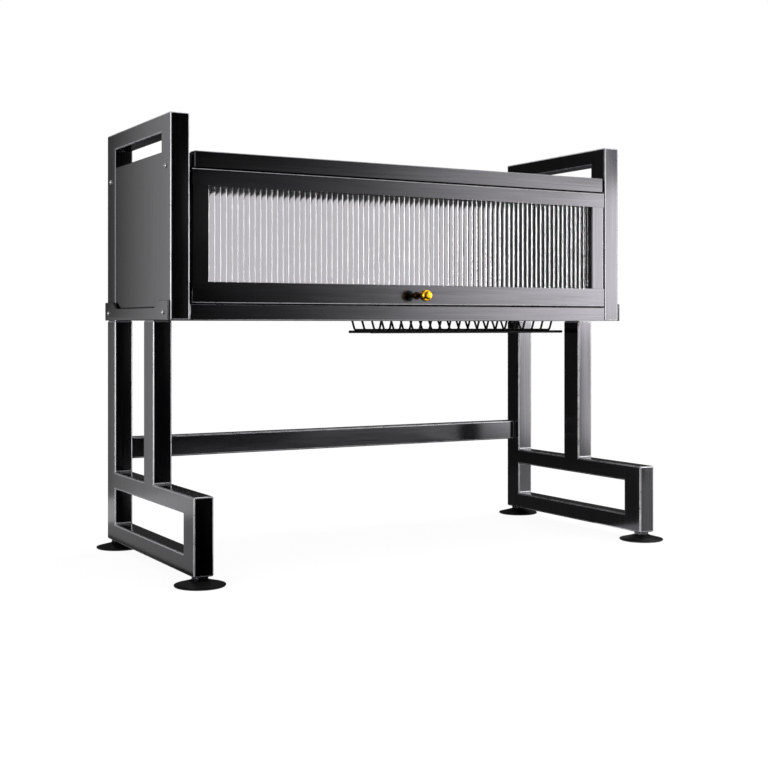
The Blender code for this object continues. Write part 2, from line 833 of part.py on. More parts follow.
def make_hinge_side(name, side, hinge, looks):
    """A pin on a block in the end of the door's top rail, and the bush that it turns in."""
    bore = bore_span(glass_high, door_top)
    ends = sorted((side * door_end, side * (door_end - PIN_BLOCK_LENGTH)))
    pin = block(
        f"{name}_hinge_pin",
        (ends[0], door_front + DOOR_WALL + SEAT_GAP, bore[0] + SEAT_GAP),
        (ends[1], door_back - DOOR_WALL - SEAT_GAP, bore[1] - SEAT_GAP),
        looks["zinc"],
        parent=hinge,
    )
    shaft = cylinder(
        f"{name}_pin_shaft",
        PIN_RADIUS,
        door_end - PIN_BLOCK_LENGTH / 2,
        inner_x + PIN_REACH,
        HINGE_SIDES,
        at=hinge.location,
        turn=outwards(side),
        parent=hinge,
    )
    weld(pin, shaft)
    bore_radius = (PIN_RADIUS + PIN_RUNNING_GAP) / math.cos(math.pi / HINGE_SIDES)
    profile = [
        (bore_radius, inner_x - SEAT_GAP - BUSH_FLANGE),
        (BUSH_FLANGE_RADIUS, inner_x - SEAT_GAP - BUSH_FLANGE),
        (BUSH_FLANGE_RADIUS, inner_x - SEAT_GAP),
        (BUSH_RADIUS, inner_x - SEAT_GAP),
        (BUSH_RADIUS, inner_x + BUSH_LENGTH),
        (bore_radius, inner_x + BUSH_LENGTH),
    ]
    turned(
        f"{name}_hinge_bush",
        profile,
        HINGE_SIDES,
        looks["nylon"],
        at=hinge.location,
        turn=outwards(side),
        ring=True,
    )


def make_door_magnet(name, side, looks):
    """A magnet on the post that the closed door rests against."""
    ends = sorted((side * rail_end, side * (rail_end - MAGNET_WIDTH)))
    front = door_back + SEAT_GAP
    low_z = bottom_rail_top + MAGNET_LIFT
    block(
        f"{name}_door_magnet",
        (ends[0], front, low_z),
        (ends[1], front + MAGNET_DEPTH, low_z + MAGNET_HEIGHT),
        looks["nylon"],
    )


def make_knob(bottom_rail, hinge, looks):
    at = (0, door_front - SEAT_GAP, door_bottom + KNOB_HEIGHT)
    profile = [
        (0, KNOB_HOLE_DEPTH),
        (KNOB_HOLE_RADIUS, KNOB_HOLE_DEPTH),
        (KNOB_HOLE_RADIUS, 0),
        (KNOB_FOOT_RADIUS, 0),
        (KNOB_FOOT_RADIUS, KNOB_FOOT_LENGTH - KNOB_FOOT_EDGE),
        (KNOB_FOOT_RADIUS - KNOB_FOOT_EDGE, KNOB_FOOT_LENGTH),
        (KNOB_STEM_RADIUS, KNOB_FOOT_LENGTH),
        (KNOB_WAIST_RADIUS, KNOB_WAIST),
        (KNOB_STEM_RADIUS, KNOB_NECK),
        ((KNOB_STEM_RADIUS + KNOB_HEAD_RADIUS) / 2, (KNOB_NECK + KNOB_HEAD_BACK) / 2),
        (KNOB_HEAD_RADIUS, KNOB_HEAD_BACK),
        (KNOB_HEAD_RADIUS, KNOB_HEAD_FRONT),
        ((KNOB_HEAD_RADIUS + KNOB_STEM_RADIUS) / 2, KNOB_LENGTH),
        (0, KNOB_LENGTH),
    ]
    forwards = (math.pi / 2, 0, 0)
    turned("door_knob", profile, KNOB_SIDES, looks["brass"], at=at, turn=forwards, parent=hinge)
    hole = cylinder(
        "knob_hole",
        KNOB_HOLE_RADIUS,
        -DOOR_THICKNESS - OVERRUN,
        OVERRUN,
        SMALL_SIDES,
        at=at,
        turn=forwards,
        parent=hinge,
    )
    cut(bottom_rail, hole)
    seat = -DOOR_THICKNESS - 2 * SEAT_GAP
    tip = KNOB_HOLE_DEPTH - OVERRUN
    screw_profile = [
        (0, seat - KNOB_SCREW_HEAD),
        (KNOB_SCREW_HEAD_RADIUS, seat - KNOB_SCREW_HEAD),
        (KNOB_SCREW_HEAD_RADIUS, seat),
        (KNOB_SCREW_RADIUS, seat),
        (KNOB_SCREW_RADIUS, tip),
        (0, tip),
    ]
    turned("knob_screw", screw_profile, SMALL_SIDES, looks["zinc"], at=at, turn=forwards, parent=hinge)


def make_door(looks):
    hinge = add_axis("door_hinge_axis", (0, hinge_y, hinge_z))
    make_door_rail("door_top_rail", glass_high, door_top, hinge, looks)
    bottom_rail = make_door_rail("door_bottom_rail", glass_low, door_bottom, hinge, looks)
    for name, side in SIDES.items():
        make_stile(f"door_{name}_stile", side, hinge, looks)
        make_corner_keys(name, side, hinge, looks)
        make_hinge_side(name, side, hinge, looks)
        make_door_magnet(name, side, looks)
    make_glass(hinge, looks)
    make_gasket(hinge, looks)
    make_knob(bottom_rail, hinge, looks)


# Levelling feet


def foot_places():
    return [("front", front_y + FOOT_INSET), ("rear", back_y - FOOT_INSET)]


def make_foot(name, side, foot_y, looks):
    """A round pad, a stud with a hexagon nut that turns in it, and the nut insert in the base bar."""
    foot = add_axis(f"{name}_axis", (side * post_x, foot_y, 0))
    socket_radius = STUD_FOOT_RADIUS + STUD_GAP
    pad_profile = [
        (0, 0),
        (PAD_RADIUS - PAD_CHAMFER, 0),
        (PAD_RADIUS, PAD_CHAMFER),
        (PAD_RADIUS, PAD_RIM),
        (PAD_SHOULDER_RADIUS, PAD_SHOULDER_HEIGHT),
        (PAD_NECK_RADIUS, PAD_NECK_HEIGHT),
        (PAD_TOP_RADIUS, PAD_TOP_HEIGHT),
        (socket_radius, PAD_TOP_HEIGHT),
        (socket_radius, SOCKET_FLOOR),
        (0, SOCKET_FLOOR),
    ]
    at = foot.location
    turned(f"{name}_pad", pad_profile, PAD_SIDES, looks["rubber"], at=at, parent=foot)
    nut_bottom = PAD_TOP_HEIGHT + SEAT_GAP
    stud_profile = [
        (0, SOCKET_FLOOR + SEAT_GAP),
        (STUD_FOOT_RADIUS, SOCKET_FLOOR + SEAT_GAP),
        (STUD_FOOT_RADIUS, nut_bottom + OVERRUN),
        (STUD_RADIUS, nut_bottom + OVERRUN),
        (STUD_RADIUS, STUD_TOP),
        (0, STUD_TOP),
    ]
    stud = turned(f"{name}_stud", stud_profile, STUD_SIDES, looks["zinc"], at=at, parent=foot)
    nut_top = FOOT_HEIGHT - SEAT_GAP
    nut = cylinder(f"{name}_nut", NUT_RADIUS, nut_bottom, nut_top, NUT_SIDES, at=at, parent=foot)
    weld(stud, nut)
    insert_low = FOOT_HEIGHT + TUBE_WALL + SEAT_GAP
    insert_profile = [
        (STUD_RADIUS + STUD_GAP, insert_low),
        (INSERT_RADIUS, insert_low),
        (INSERT_RADIUS, insert_low + INSERT_HEIGHT),
        (STUD_RADIUS + STUD_GAP, insert_low + INSERT_HEIGHT),
    ]
    turned(f"{name}_insert", insert_profile, STUD_SIDES, looks["zinc"], at=at, ring=True)


# Wire racks


def bent(corners):
    """A wire's path through these (y, z) corners, each inner corner eased by a short bend."""
    corners = [Vector(corner) for corner in corners]
    path = [corners[0]]
    for before, corner, after in zip(corners, corners[1:], corners[2:]):
        start = corner + (before - corner).normalized() * WIRE_BEND
        end = corner + (after - corner).normalized() * WIRE_BEND
        path += [start, end]
    return path + [corners[-1]]


def wires(name, paths, radius, look):
    """Round wires along these paths, as one mesh."""
    curve = bpy.data.curves.new(name, "CURVE")
    curve.dimensions = "3D"
    curve.bevel_depth = radius
    curve.bevel_resolution = WIRE_SIDE_LEVEL
    curve.use_fill_caps = True
    for path in paths:
        spline = curve.splines.new("POLY")
        spline.points.add(len(path) - 1)
        for point, place in zip(spline.points, path):
            point.co = (*place, 1)
    guide = bpy.data.objects.new(name + "_guide", curve)
    bpy.context.collection.objects.link(guide)
    graph = bpy.context.evaluated_depsgraph_get()
    mesh = bpy.data.meshes.new_from_object(guide.evaluated_get(graph))
    bpy.data.objects.remove(guide)
    bm = bmesh.new()
    bm.from_mesh(mesh)
    bmesh.ops.remove_doubles(bm, verts=bm.verts, dist=MERGE)
    return add_object(name, bm, look)


def wire_rack(name, profile, left, right, wires_left, wires_right, pitch, rods, look):
    """Bent wires side by side, welded to rods that run along X under them."""
    across = bent(profile)
    count = math.floor((wires_right - wires_left) / pitch) + 1
    paths = []
    for number in range(count):
        x = wires_left + number * pitch
        paths.append([(x, y, z) for y, z in across])
    rack = wires(name, paths, WIRE_RADIUS, look)
    drop = WIRE_RADIUS + ROD_RADIUS - WELD_DEPTH
    rod_paths = [[(left, y, z - drop), (right, y, z - drop)] for y, z in rods]
    weld(rack, wires(name + "_rods", rod_paths, ROD_RADIUS, look))


def make_racks(looks):
    rim_level = bottom_rail_top + SEAT_GAP + 2 * ROD_RADIUS + WIRE_RADIUS - WELD_DEPTH
    front_rim = cabinet_front + RIM_SETBACK
    rear_rim = back_y - RIM_SETBACK
    front_end = (front_rim - RIM_OVERHANG, rim_level)
    rear_end = (rear_rim + RIM_OVERHANG, rim_level)
    rims = [(front_rim, rim_level), (rear_rim, rim_level)]
    trough_level = rim_level - TROUGH_DEPTH
    trough_front = front_rim + TROUGH_FRONT_SHOULDER + TROUGH_FRONT_SLOPE
    trough_back = rear_rim - TROUGH_BACK_SHOULDER - TROUGH_BACK_SLOPE
    trough = [
        front_end,
        (front_rim + TROUGH_FRONT_SHOULDER, rim_level),
        (trough_front, trough_level),
        (trough_back, trough_level),
        (rear_rim - TROUGH_BACK_SHOULDER, rim_level),
        rear_end,
    ]
    trough_rods = [
        (trough_front + WIRE_BEND, trough_level),
        (trough_back - WIRE_BEND, trough_level),
    ]
    plate_rack_right = inner_x - RACK_END_GAP
    plate_rack_left = plate_rack_right - PLATE_RACK_LENGTH
    wire_rack(
        "plate_rack",
        trough,
        plate_rack_left,
        plate_rack_right,
        plate_rack_left + PLATE_WIRES_START,
        plate_rack_right - PLATE_WIRES_END,
        PLATE_WIRE_PITCH,
        rims + trough_rods,
        looks["wire"],
    )
    bowl_level = rim_level - BOWL_DEPTH
    floor_front = front_rim + BOWL_SHOULDER + BOWL_SLOPE
    floor_back = rear_rim - BOWL_SHOULDER - BOWL_SLOPE
    basin = [
        front_end,
        (front_rim + BOWL_SHOULDER, rim_level),
        (floor_front, bowl_level),
        (floor_back, bowl_level),
        (rear_rim - BOWL_SHOULDER, rim_level),
        rear_end,
    ]
    basin_rods = []
    for share in BOWL_ROD_SHARES:
        basin_rods.append((floor_front + share * (floor_back - floor_front), bowl_level))
    bowl_rack_left = RACK_END_GAP - inner_x
    bowl_rack_right = plate_rack_left - RACKS_GAP
    wire_rack(
        "bowl_rack",
        basin,
        bowl_rack_left,
        bowl_rack_right,
        bowl_rack_left + BOWL_WIRES_MARGIN,
        bowl_rack_right - BOWL_WIRES_MARGIN,
        BOWL_WIRE_PITCH,
        rims + basin_rods,
        looks["wire"],
    )


def main():
    clear_scene()
    looks = make_finishes()
    for name, side in SIDES.items():
        make_leg_frame(name, side, looks)
        make_side_hoop(name, side, looks)
        make_connectors(name, side, looks)
        make_side_panel(name, side, looks)
        make_joint_plate(name, side, looks)
        make_screws(name, side, looks)
        for end, foot_y in foot_places():
            make_foot(f"{name}_{end}_foot", side, foot_y, looks)
    make_crossbar(looks)
    make_rails(looks)
    make_top_panel(looks)
    make_door(looks)
    make_racks(looks)


main()
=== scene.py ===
"""The looks of an over-sink dish rack, laid out as a Blender add-on and run as a script.

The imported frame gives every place. Lengths are in metres, Z is up, the door faces -Y and the left
side frame lies at negative X.
"""

import json
import math

import bmesh
import bpy
from mathutils import Matrix, Vector

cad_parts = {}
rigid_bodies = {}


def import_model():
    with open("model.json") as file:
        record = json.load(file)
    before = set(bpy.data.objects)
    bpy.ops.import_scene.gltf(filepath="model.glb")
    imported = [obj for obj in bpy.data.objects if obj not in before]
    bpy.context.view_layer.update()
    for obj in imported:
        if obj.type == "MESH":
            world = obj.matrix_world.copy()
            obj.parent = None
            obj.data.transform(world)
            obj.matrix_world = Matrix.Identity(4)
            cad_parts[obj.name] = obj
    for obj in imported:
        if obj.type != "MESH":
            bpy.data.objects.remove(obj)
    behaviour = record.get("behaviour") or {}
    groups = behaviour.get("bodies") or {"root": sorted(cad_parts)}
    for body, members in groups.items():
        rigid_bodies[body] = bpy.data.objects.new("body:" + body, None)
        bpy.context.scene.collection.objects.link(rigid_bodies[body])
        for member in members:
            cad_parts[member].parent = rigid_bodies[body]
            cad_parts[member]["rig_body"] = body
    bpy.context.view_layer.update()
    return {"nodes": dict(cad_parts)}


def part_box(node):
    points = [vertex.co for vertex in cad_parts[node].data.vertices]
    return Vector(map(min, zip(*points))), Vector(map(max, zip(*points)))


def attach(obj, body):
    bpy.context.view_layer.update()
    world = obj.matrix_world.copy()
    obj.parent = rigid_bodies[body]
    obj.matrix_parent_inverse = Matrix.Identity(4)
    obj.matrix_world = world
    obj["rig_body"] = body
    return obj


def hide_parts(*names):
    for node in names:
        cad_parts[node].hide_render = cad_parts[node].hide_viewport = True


bl_info = {
    "name": "Over-sink dish rack",
    "version": (1, 0, 0),
    "blender": (4, 5, 0),
    "location": "3D View > Sidebar > Dish Rack",
    "description": "Dresses the packed dish rack with its finishes, glass, wires and fittings",
    "category": "Object",
}

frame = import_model()
SIDES = {"left": -1, "right": 1}
ENDS = ("front", "rear")
MM = 0.001
UP = (0, 0, 1)
DOWN = (0, 0, -1)
RIGHT = (1, 0, 0)
FORWARD = (0, -1, 0)

# Where the camera stands, and how it is turned to the rack
CAMERA_PLACE = (-1.09566, -1.93985, 0.37498)
CAMERA_TURN = math.radians(-29.42)
CAMERA_LENS = 60.88
CAMERA_SHIFT = -0.0771
CAMERA_CLIP = 0.05

# The floor lies a hair under the pads. Where it is looked at it mostly glows, so that it is white and
# still shows a soft shadow.
FLOOR_REACH = 40
FLOOR_LEVEL = -0.2 * MM
FLOOR_GLOW = 1.02
FLOOR_GLOW_SHARE = 0.9

# The white studio's strength as a light. As a background its strength is one.
WORLD_LIGHT = 0.85

# Lamps: where each stands, what it points at, its width, its height and its power in watts
LAMPS = {
    # The sheen on the right half of the cabinet's bars
    "softbox_right": ((1.75, -1.2, 0.59), (0.2, 0, 0.59), 1.3, 0.46, 8.5),
    # The same lower down, on the right leg frame and the crossbar
    "softbox_low": ((1.83, -1.1, 0.18), (0.28, 0.1, 0.18), 1.06, 0.36, 2.7),
    # The lid and the tops of the bars
    "softbox_top": ((0.8, 0.15, 2.2), (0.8, 0.15, 0), 2.0, 1.0, 18),
    # The left frame's outer sides
    "softbox_left": ((-2.1, -0.75, 0.5), (-0.4, -0.75, 0.5), 1.7, 1.0, 14),
    # The bright line down each flute
    "glass_strip": ((1.2, -0.425, 0.55), (0.2, -0.1, 0.52), 0.73, 0.4, 13),
}

# Upright cards that the metal reflects: both ends on the floor plan, foot, top, and the shade at the
# left and right end
CARD_FOOT = -0.1
FRONT_Y = -1.35
FRONT_TOP = 1.3
BACK_Y = 0.80
BACK_TOP = 0.95
BACK_STEP = 0.38
SIDE_TOP = 1.4
CARDS = {
    # The left half of the front reflects black
    "card_front": ((-0.75, FRONT_Y), (0.10, FRONT_Y), CARD_FOOT, FRONT_TOP, 0.01, 0.01),
    # The crossbar's front stays dark
    "card_front_low": ((0.10, FRONT_Y), (0.65, FRONT_Y), CARD_FOOT, 0.25, 0.01, 0.01),
    # So do the inner sides of the right frame and the underside of its handle
    "card_back": ((-0.61, BACK_Y), (0.60, BACK_Y), CARD_FOOT, BACK_TOP, 0.06, 0.03),
    "card_back_right": ((0.60, BACK_Y), (1.80, BACK_Y), CARD_FOOT, BACK_TOP, 0.03, 0.08),
    # The outer sides of the left frame turn grey towards the back
    "card_back_left": ((-0.78, BACK_Y), (-0.61, BACK_Y), BACK_STEP, BACK_TOP, 1.0, 0.06),
    "card_back_left_low": ((-0.86, BACK_Y), (-0.61, BACK_Y), CARD_FOOT, BACK_STEP, 1.0, 0.4),
    # The right-hand outline stays dark against the white
    "card_right": ((2.0, -0.3), (1.6, 2.0), CARD_FOOT, SIDE_TOP, 0.02, 0.02),
    # The rounded edges on the left start dark
    "card_left": ((-1.6, 0.1), (-0.9, 0.8), CARD_FOOT, SIDE_TOP, 0.0, 0.0),
}

# On the right half of the front the shade rises in three cards side by side, so that the bars go from
# black at the left to light grey at the right. Each height has its foot, its top and four shades.
FRONT_STEPS = {"dark": (0.10, 0.35), "grey": (0.35, 0.60), "bright": (0.60, 1.30)}
FRONT_HEIGHTS = {
    "low": (0.25, 0.60, (0.05, 0.19, 0.76, 4.7)),
    "middle": (0.60, 0.77, (0.15, 0.26, 0.60, 3.7)),
    "high": (0.77, FRONT_TOP, (0.0, 0.07, 0.30, 3.3)),
}

# Cards that lie on the floor: left, right, front, back, height, and the shade at the left and right end
MAT_LEVEL = 3 * MM
MATS = {
    # The sides and lower faces of the base bars
    "mat_back": (-0.46, 0.75, -0.06, 0.80, MAT_LEVEL, 0.08, 0.08),
    "mat_left": (-1.10, -0.46, -0.20, 0.45, 2 * MM, 0.5, 0.4),
    "mat_front": (-0.90, -0.15, -0.95, -0.24, MAT_LEVEL, 0.0, 0.0),
    # These two leave a white patch before the door, and the far one darkens the crossbar
    "mat_middle": (-0.15, 0.10, -0.95, -0.70, MAT_LEVEL, 0.0, 0.05),
    "mat_far": (-0.90, 1.32, -2.00, -0.95, MAT_LEVEL, 0.0, 0.05),
    # The base bars' sides again, nearer the camera
    "mat_front_left": (-0.46, -0.20, -0.24, -0.02, MAT_LEVEL, 0.0, 0.0),
    "mat_right": (0.40, 1.50, -0.95, -0.24, MAT_LEVEL, 0.7, 0.8),
}

# Points this close together are merged. Edges that turn by less than the level angle are dissolved,
# and those that turn by more than the smooth angle stay sharp.
MERGE = 0.000001
LEVEL_ANGLE = math.radians(0.5)
SMOOTH_ANGLE = math.radians(40)

# The part of a face's normal that lies along a direction: at least this much when the face is flat
# that way, when it looks that way, and when it is turned a little that way
FLAT = 0.97
LOOKING = 0.5
TURNED = 0.2

# Facets across a rounded edge, and how much more a flat counts there than a facet
EDGE_FACETS = 3
FLAT_WEIGHT = 80

# An arc takes up a little less than half of a profile's short side
ARC_LIMIT = 2.1

# Nearly all of a noise lies in this span
NOISE_SPAN = {"From Min": 0.3, "From Max": 0.7}
NOISE_ROUGHNESS = 0.6

# Brushed steel: its darkest and lightest tone, its roughness, and the depth of its lines. The broad
# bands in its tone are so many times as wide and as long as a line.
STEEL_TONES = (0.84, 1.16)
STEEL_TONE_SPAN = {"From Min": 0.52, "From Max": 0.88}
STEEL_ROUGHNESS = {"To Min": 0.11, "To Max": 0.18}
STEEL_LINE_DEPTH = 0.03 * MM
STEEL_RELIEF = 0.2
BAND_WIDTH = 6
BAND_LENGTH = 2
BAND_SHARE = 0.4
BAND_SEED = 7.3

# Grained finishes: their darkest and lightest tone. Their clouds are so many grains across.
GRAIN_TONES = (0.8, 1.15)
GRAIN_RELIEF = 0.3
CLOUD_GRAINS = 30
CLOUD_SEED = 3.1

# Rolled glass: the size of its waves along X, Y and Z, and its gloss
GLASS_WAVES = (20 * MM, 20 * MM, 60 * MM)
GLASS_ROUGHNESS = {"To Min": 0.05, "To Max": 0.08}
GLASS_IOR = 1.52
GLASS_SPECULAR = 0.05

# Each grained finish has a name, roughness, metallic, the size and depth of its grain, and where they
# aren't the usual ones, the spread of its roughness and its specular level. Its colour has its key.
GRAINED = {
    # The inner sides of the cabinet's sheets: black coated steel, unbrushed and dull, and darker than the
    # outside as a painted shade for the cabinet's dark inside
    "inside": ("black_coated_inside", 0.45, 1.0, 0.6 * MM, 0.01 * MM),
    # The steel's rounded edges, lighter than the flats: a painted highlight along every edge
    "edge": ("rubbed_steel_edge", 0.3, 0.9, 0.6 * MM, 0.01 * MM),
    # The lid's wide bend: a weaker painted highlight along it
    "bend": ("rubbed_steel_bend", 0.3, 0.9, 0.6 * MM, 0.01 * MM),
    # Steel wire dipped in black plastic, as plate racks are: glossy, with a faint orange peel
    "wire": ("dipped_wire_black", 0.36, 0.0, 1.2 * MM, 0.02 * MM, 0.06, 0.2),
    # Moulded black rubber: nearly matt, with a fine grain from the tool
    "rubber": ("moulded_rubber_black", 0.36, 0.0, 0.6 * MM, 0.03 * MM, 0.06, 0.2),
    # Moulded black nylon: an even soft gloss
    "nylon": ("moulded_nylon_black", 0.42, 0.0, 0.5 * MM, 0.02 * MM),
    # Turned steel with bright zinc plating: a clean, slightly cloudy metal gloss
    "zinc": ("bright_zinc_steel", 0.24, 1.0, 0.4 * MM, 0.01 * MM),
    # Turned steel with black zinc plating: a dark smoky metal gloss
    "dark_zinc": ("black_zinc_steel", 0.22, 1.0, 0.4 * MM, 0.01 * MM),
    # Turned brass, polished and lacquered: a deep yellow mirror with faint turning marks
    "brass": ("polished_brass", 0.14, 1.0, 0.5 * MM, 0.008 * MM, 0.04),
    # The knob's neck and back: brass darkened to brown, a painted shade and a painted dark reflection of
    # the door
    "dull_brass": ("dull_brass", 0.2, 1.0, 0.5 * MM, 0.008 * MM),
}

# Fluted glass: a flute's section is part circle and part parabola, and a nudge keeps the point that
# two flutes share out of rounding
FLUTES = 78
FLUTE_ROUND = 0.45
FLUTE_NUDGE = 0.0001
FLUTE_SMOOTH = math.radians(30)

# The section of the flutes as Math nodes: a name, the operation and its two inputs
FLUTE_SECTION = [
    ("facets", "MULTIPLY", "Flutes", "Steps"),
    ("columns", "ADD", "facets", 1.0),
    # How far a point lies from its own flute's middle, from -1 to 1
    ("place", "DIVIDE", "X", "Width"),
    ("from_left", "ADD", "place", 0.5),
    ("counted", "MULTIPLY", "from_left", "Flutes"),
    ("nudged", "ADD", "counted", FLUTE_NUDGE),
    ("within", "FRACT", "nudged", 0.0),
    ("from_middle", "SUBTRACT", "within", 0.5),
    ("across", "MULTIPLY", "from_middle", 2.0),
    # The circle and the parabola, flattened to the wanted depth
    ("square", "POWER", "across", 2.0),
    ("parabola", "SUBTRACT", 1.0, "square"),
    ("circle", "SQRT", "parabola", 0.0),
    ("circle_part", "MULTIPLY", "circle", FLUTE_ROUND),
    ("parabola_part", "MULTIPLY", "parabola", 1 - FLUTE_ROUND),
    ("section", "ADD", "circle_part", "parabola_part"),
    ("lift", "MULTIPLY", "section", "Flute Depth"),
    ("forward", "MULTIPLY", "lift", -1.0),
]

# Wire racks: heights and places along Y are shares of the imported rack's own size
WIRE_RADIUS = 1.9 * MM
ROD_RADIUS = 2.4 * MM
WELD_DEPTH = 0.8 * MM
PLATE_WIRES = 19
PLATE_PITCH = 20 * MM
PLATE_WIRES_START = 14 * MM
BOWL_WIRES = 14
BOWL_PITCH = 25 * MM
BOWL_WIRES_START = 8 * MM
TROUGH_LINE = [(0, 1), (0.2516, 1), (0.326, 0), (0.6744, 0), (0.7764, 1), (1, 1)]
TROUGH_RODS = [(0.0116, 1), (0.9884, 1), (0.3492, 0), (0.6512, 0)]
BASIN_LINE = [(0, 1), (0.1202, 1), (0.1589, 0), (0.8411, 0), (0.8798, 1), (1, 1)]
BASIN_RODS = [(0.0116, 1), (0.9884, 1), (0.1998, 0), (0.5, 0), (0.8002, 0)]
WIRE_SIDES = 16
WIRE_BEND_STEPS = 8

# The knob as shares of its radius and reach. Its neck and its back get a dark painted shade.
KNOB_SHARES = [
    (0, 0),
    (0.68, 0),
    (0.68, 0.04),
    (0.40, 0.08),
    (0.33, 0.28),
    (0.42, 0.52),
    (0.90, 0.62),
    (1, 0.68),
    (1, 0.90),
    (0.80, 0.98),
    (0.34, 1),
    (0, 1),
]
KNOB_NECK = 0.52
KNOB_EASE = 1.4 * MM

# Feet: the pad as shares of its radius and height
PAD_SHARES = [
    (0, 0),
    (0.979, 0),
    (1, 0.086),
    (1, 0.27),
    (0.827, 0.45),
    (0.493, 0.81),
    (0.36, 1),
    (0.157, 1),
    (0.157, 0.43),
    (0, 0.43),
]
PAD_EASE = 0.5 * MM
PAD_SIDES = 96
STUD_FOOT_RADIUS = 5.5 * MM
STUD_RADIUS = 4 * MM
STUD_SIDES = 32
STUD_SMOOTH = math.radians(32)
THREAD_CORE = 3.4 * MM
THREAD_SINK = 0.05 * MM
THREAD_END = 0.4 * MM
THREAD_STEPS = 24
# Half the width of the thread's foot and crest, as shares of its pitch
THREAD_FOOT = 0.42
THREAD_CREST = 0.06
NUT_RADIUS = 13 * MM
NUT_LOW = 5.3 * MM
NUT_HIGH = 9.9 * MM
NUT_CONE = 0.9 * MM
NUT_STEPS = 96

# Screws. The cross has its length and width as shares of the head's radius, and narrows downwards.
SCREW_HEAD_HEIGHT = 2.2 * MM
SCREW_RIM = 0.6 * MM
SCREW_SHANK = 2 * MM
SCREW_SIDES = 40
SCREW_CROWN_STEPS = 8
SCREW_SMOOTH = math.radians(35)
CROSS_LENGTH = 1.25
CROSS_WIDTH = 0.26
CROSS_NARROW = 0.45
CROSS_TOP = 0.3 * MM
CROSS_DEPTH = 1.4 * MM


def hex_colour(text):
    """A hex sRGB colour as linear red, green, blue and alpha."""
    channels = []
    for start in (1, 3, 5):
        value = int(text[start : start + 2], 16) / 255
        channels.append(value / 12.92 if value <= 0.04045 else ((value + 0.055) / 1.055) ** 2.4)
    return (*channels, 1.0)


def length(name, description, default, low, high):
    """A length property. Its default and its limits are given in millimetres."""
    return bpy.props.FloatProperty(
        name=name,
        description=description,
        default=default * MM,
        min=low * MM,
        max=high * MM,
        unit="LENGTH",
        precision=5,
    )


def colour(name, description, text):
    """A colour property, given as hex."""
    return bpy.props.FloatVectorProperty(
        name=name,
        description=description,
        default=hex_colour(text),
        size=4,
        min=0,
        max=1,
        subtype="COLOR",
    )


class RackSizes(bpy.types.PropertyGroup):
    """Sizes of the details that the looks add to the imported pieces."""

    flute_depth: length("Flute depth", "Height of a glass flute over its valleys", 1.2, 0.1, 3)
    flute_steps: bpy.props.IntProperty(
        name="Flute steps", description="Facets across one glass flute", default=14, min=4, max=40
    )
    door_edge: length("Door edge", "Radius of the door bars' eased edges", 1.4, 0.1, 1.5)
    lid_bend: length("Lid bend", "Radius of the bend along the lid's front", 4, 0.5, 4)
    wire_bend: length("Wire bend", "Radius of a bend in the wire racks", 7, 3, 12)
    thread_pitch: length("Thread pitch", "Rise of a foot stud for one turn", 1.25, 0.5, 2)
    streak_width: length("Streak width", "Width of a line of the brushed finish", 0.8, 0.2, 5)
    streak_length: length("Streak length", "Length of a line of the brushed finish", 120, 20, 500)


class RackColours(bpy.types.PropertyGroup):
    """Colours of the rack's finishes."""

    steel: colour("Brushed steel", "Black coated steel, brushed", "#59585b")
    # Painted highlight: the lighter tone of the steel's rounded edges
    edge: colour("Steel edges", "Black coated steel where its edges are rubbed bright", "#b2b1b5")
    # Painted highlight: the lighter tone of the lid's bend
    bend: colour("Lid bend", "Black coated steel on the lid's bend, rubbed a little", "#77767a")
    # Painted shade: the cabinet's inner sides darker than its outside
    inside: colour("Inside", "Black coat on the cabinet's inner sides", "#18181a")
    wire: colour("Wire", "Black dipped wire", "#050506")
    glass: colour("Glass", "Clear fluted glass", "#bebcc0")
    brass: colour("Brass", "Polished brass of the knob", "#e9b32c")
    # Painted shade on the knob's neck and back
    dull_brass: colour("Dull brass", "Unpolished back and neck of the knob", "#2e1a0e")
    rubber: colour("Rubber", "Moulded rubber of the feet and the seal", "#0b0b0c")
    zinc: colour("Zinc", "Bright zinc on screws, keys and pins", "#c4c4c6")
    dark_zinc: colour("Dark zinc", "Black zinc on the studs and nuts of the feet", "#48484a")
    nylon: colour("Nylon", "Moulded nylon of the bushes and magnets", "#161617")
    floor: colour("Floor", "Studio floor", "#ffffff")


def sizes():
    return bpy.context.scene.rack_sizes


def colours():
    return bpy.context.scene.rack_colours


# Node trees


def add_node(tree, kind, links=None, **settings):
    """Adds a node with its settings. Links give an input a value or another node's output."""
    node = tree.nodes.new(kind)
    for name, value in settings.items():
        setattr(node, name, value)
    for key, value in (links or {}).items():
        if isinstance(value, bpy.types.NodeSocket):
            tree.links.new(value, node.inputs[key])
        else:
            node.inputs[key].default_value = value
    return node


def new_finish(name):
    """An empty material with its shader, ready for a pattern."""
    finish = bpy.data.materials.new(name)
    finish.use_nodes = True
    return finish, finish.node_tree, finish.node_tree.nodes["Principled BSDF"]


def stretched_noise(tree, scale, detail, seed=0.0):
    """Noise on the piece's own coordinates. The scale holds one cell's size along X, Y and Z."""
    place = add_node(tree, "ShaderNodeTexCoord")
    mapping = add_node(
        tree,
        "ShaderNodeMapping",
        {
            "Vector": place.outputs["Object"],
            "Scale": [1 / cell for cell in scale],
            "Location": (seed, seed, seed),
        },
    )
    return add_node(
        tree,
        "ShaderNodeTexNoise",
        {
            "Vector": mapping.outputs["Vector"],
            "Scale": 1.0,
            "Detail": detail,
            "Roughness": NOISE_ROUGHNESS,
        },
    ).outputs["Fac"]


def tinted(tree, colour_value, tones, pattern, span):
    """The colour in its dark and light tone, mixed as the pattern's value crosses the span."""
    dark, light = ([min(1, channel * tone) for channel in colour_value[:3]] + [1] for tone in tones)
    share = add_node(tree, "ShaderNodeMapRange", {"Value": pattern, **span}).outputs["Result"]
    mixed = add_node(tree, "ShaderNodeMix", {"Factor": share, 6: dark, 7: light}, data_type="RGBA")
    return mixed.outputs[2]


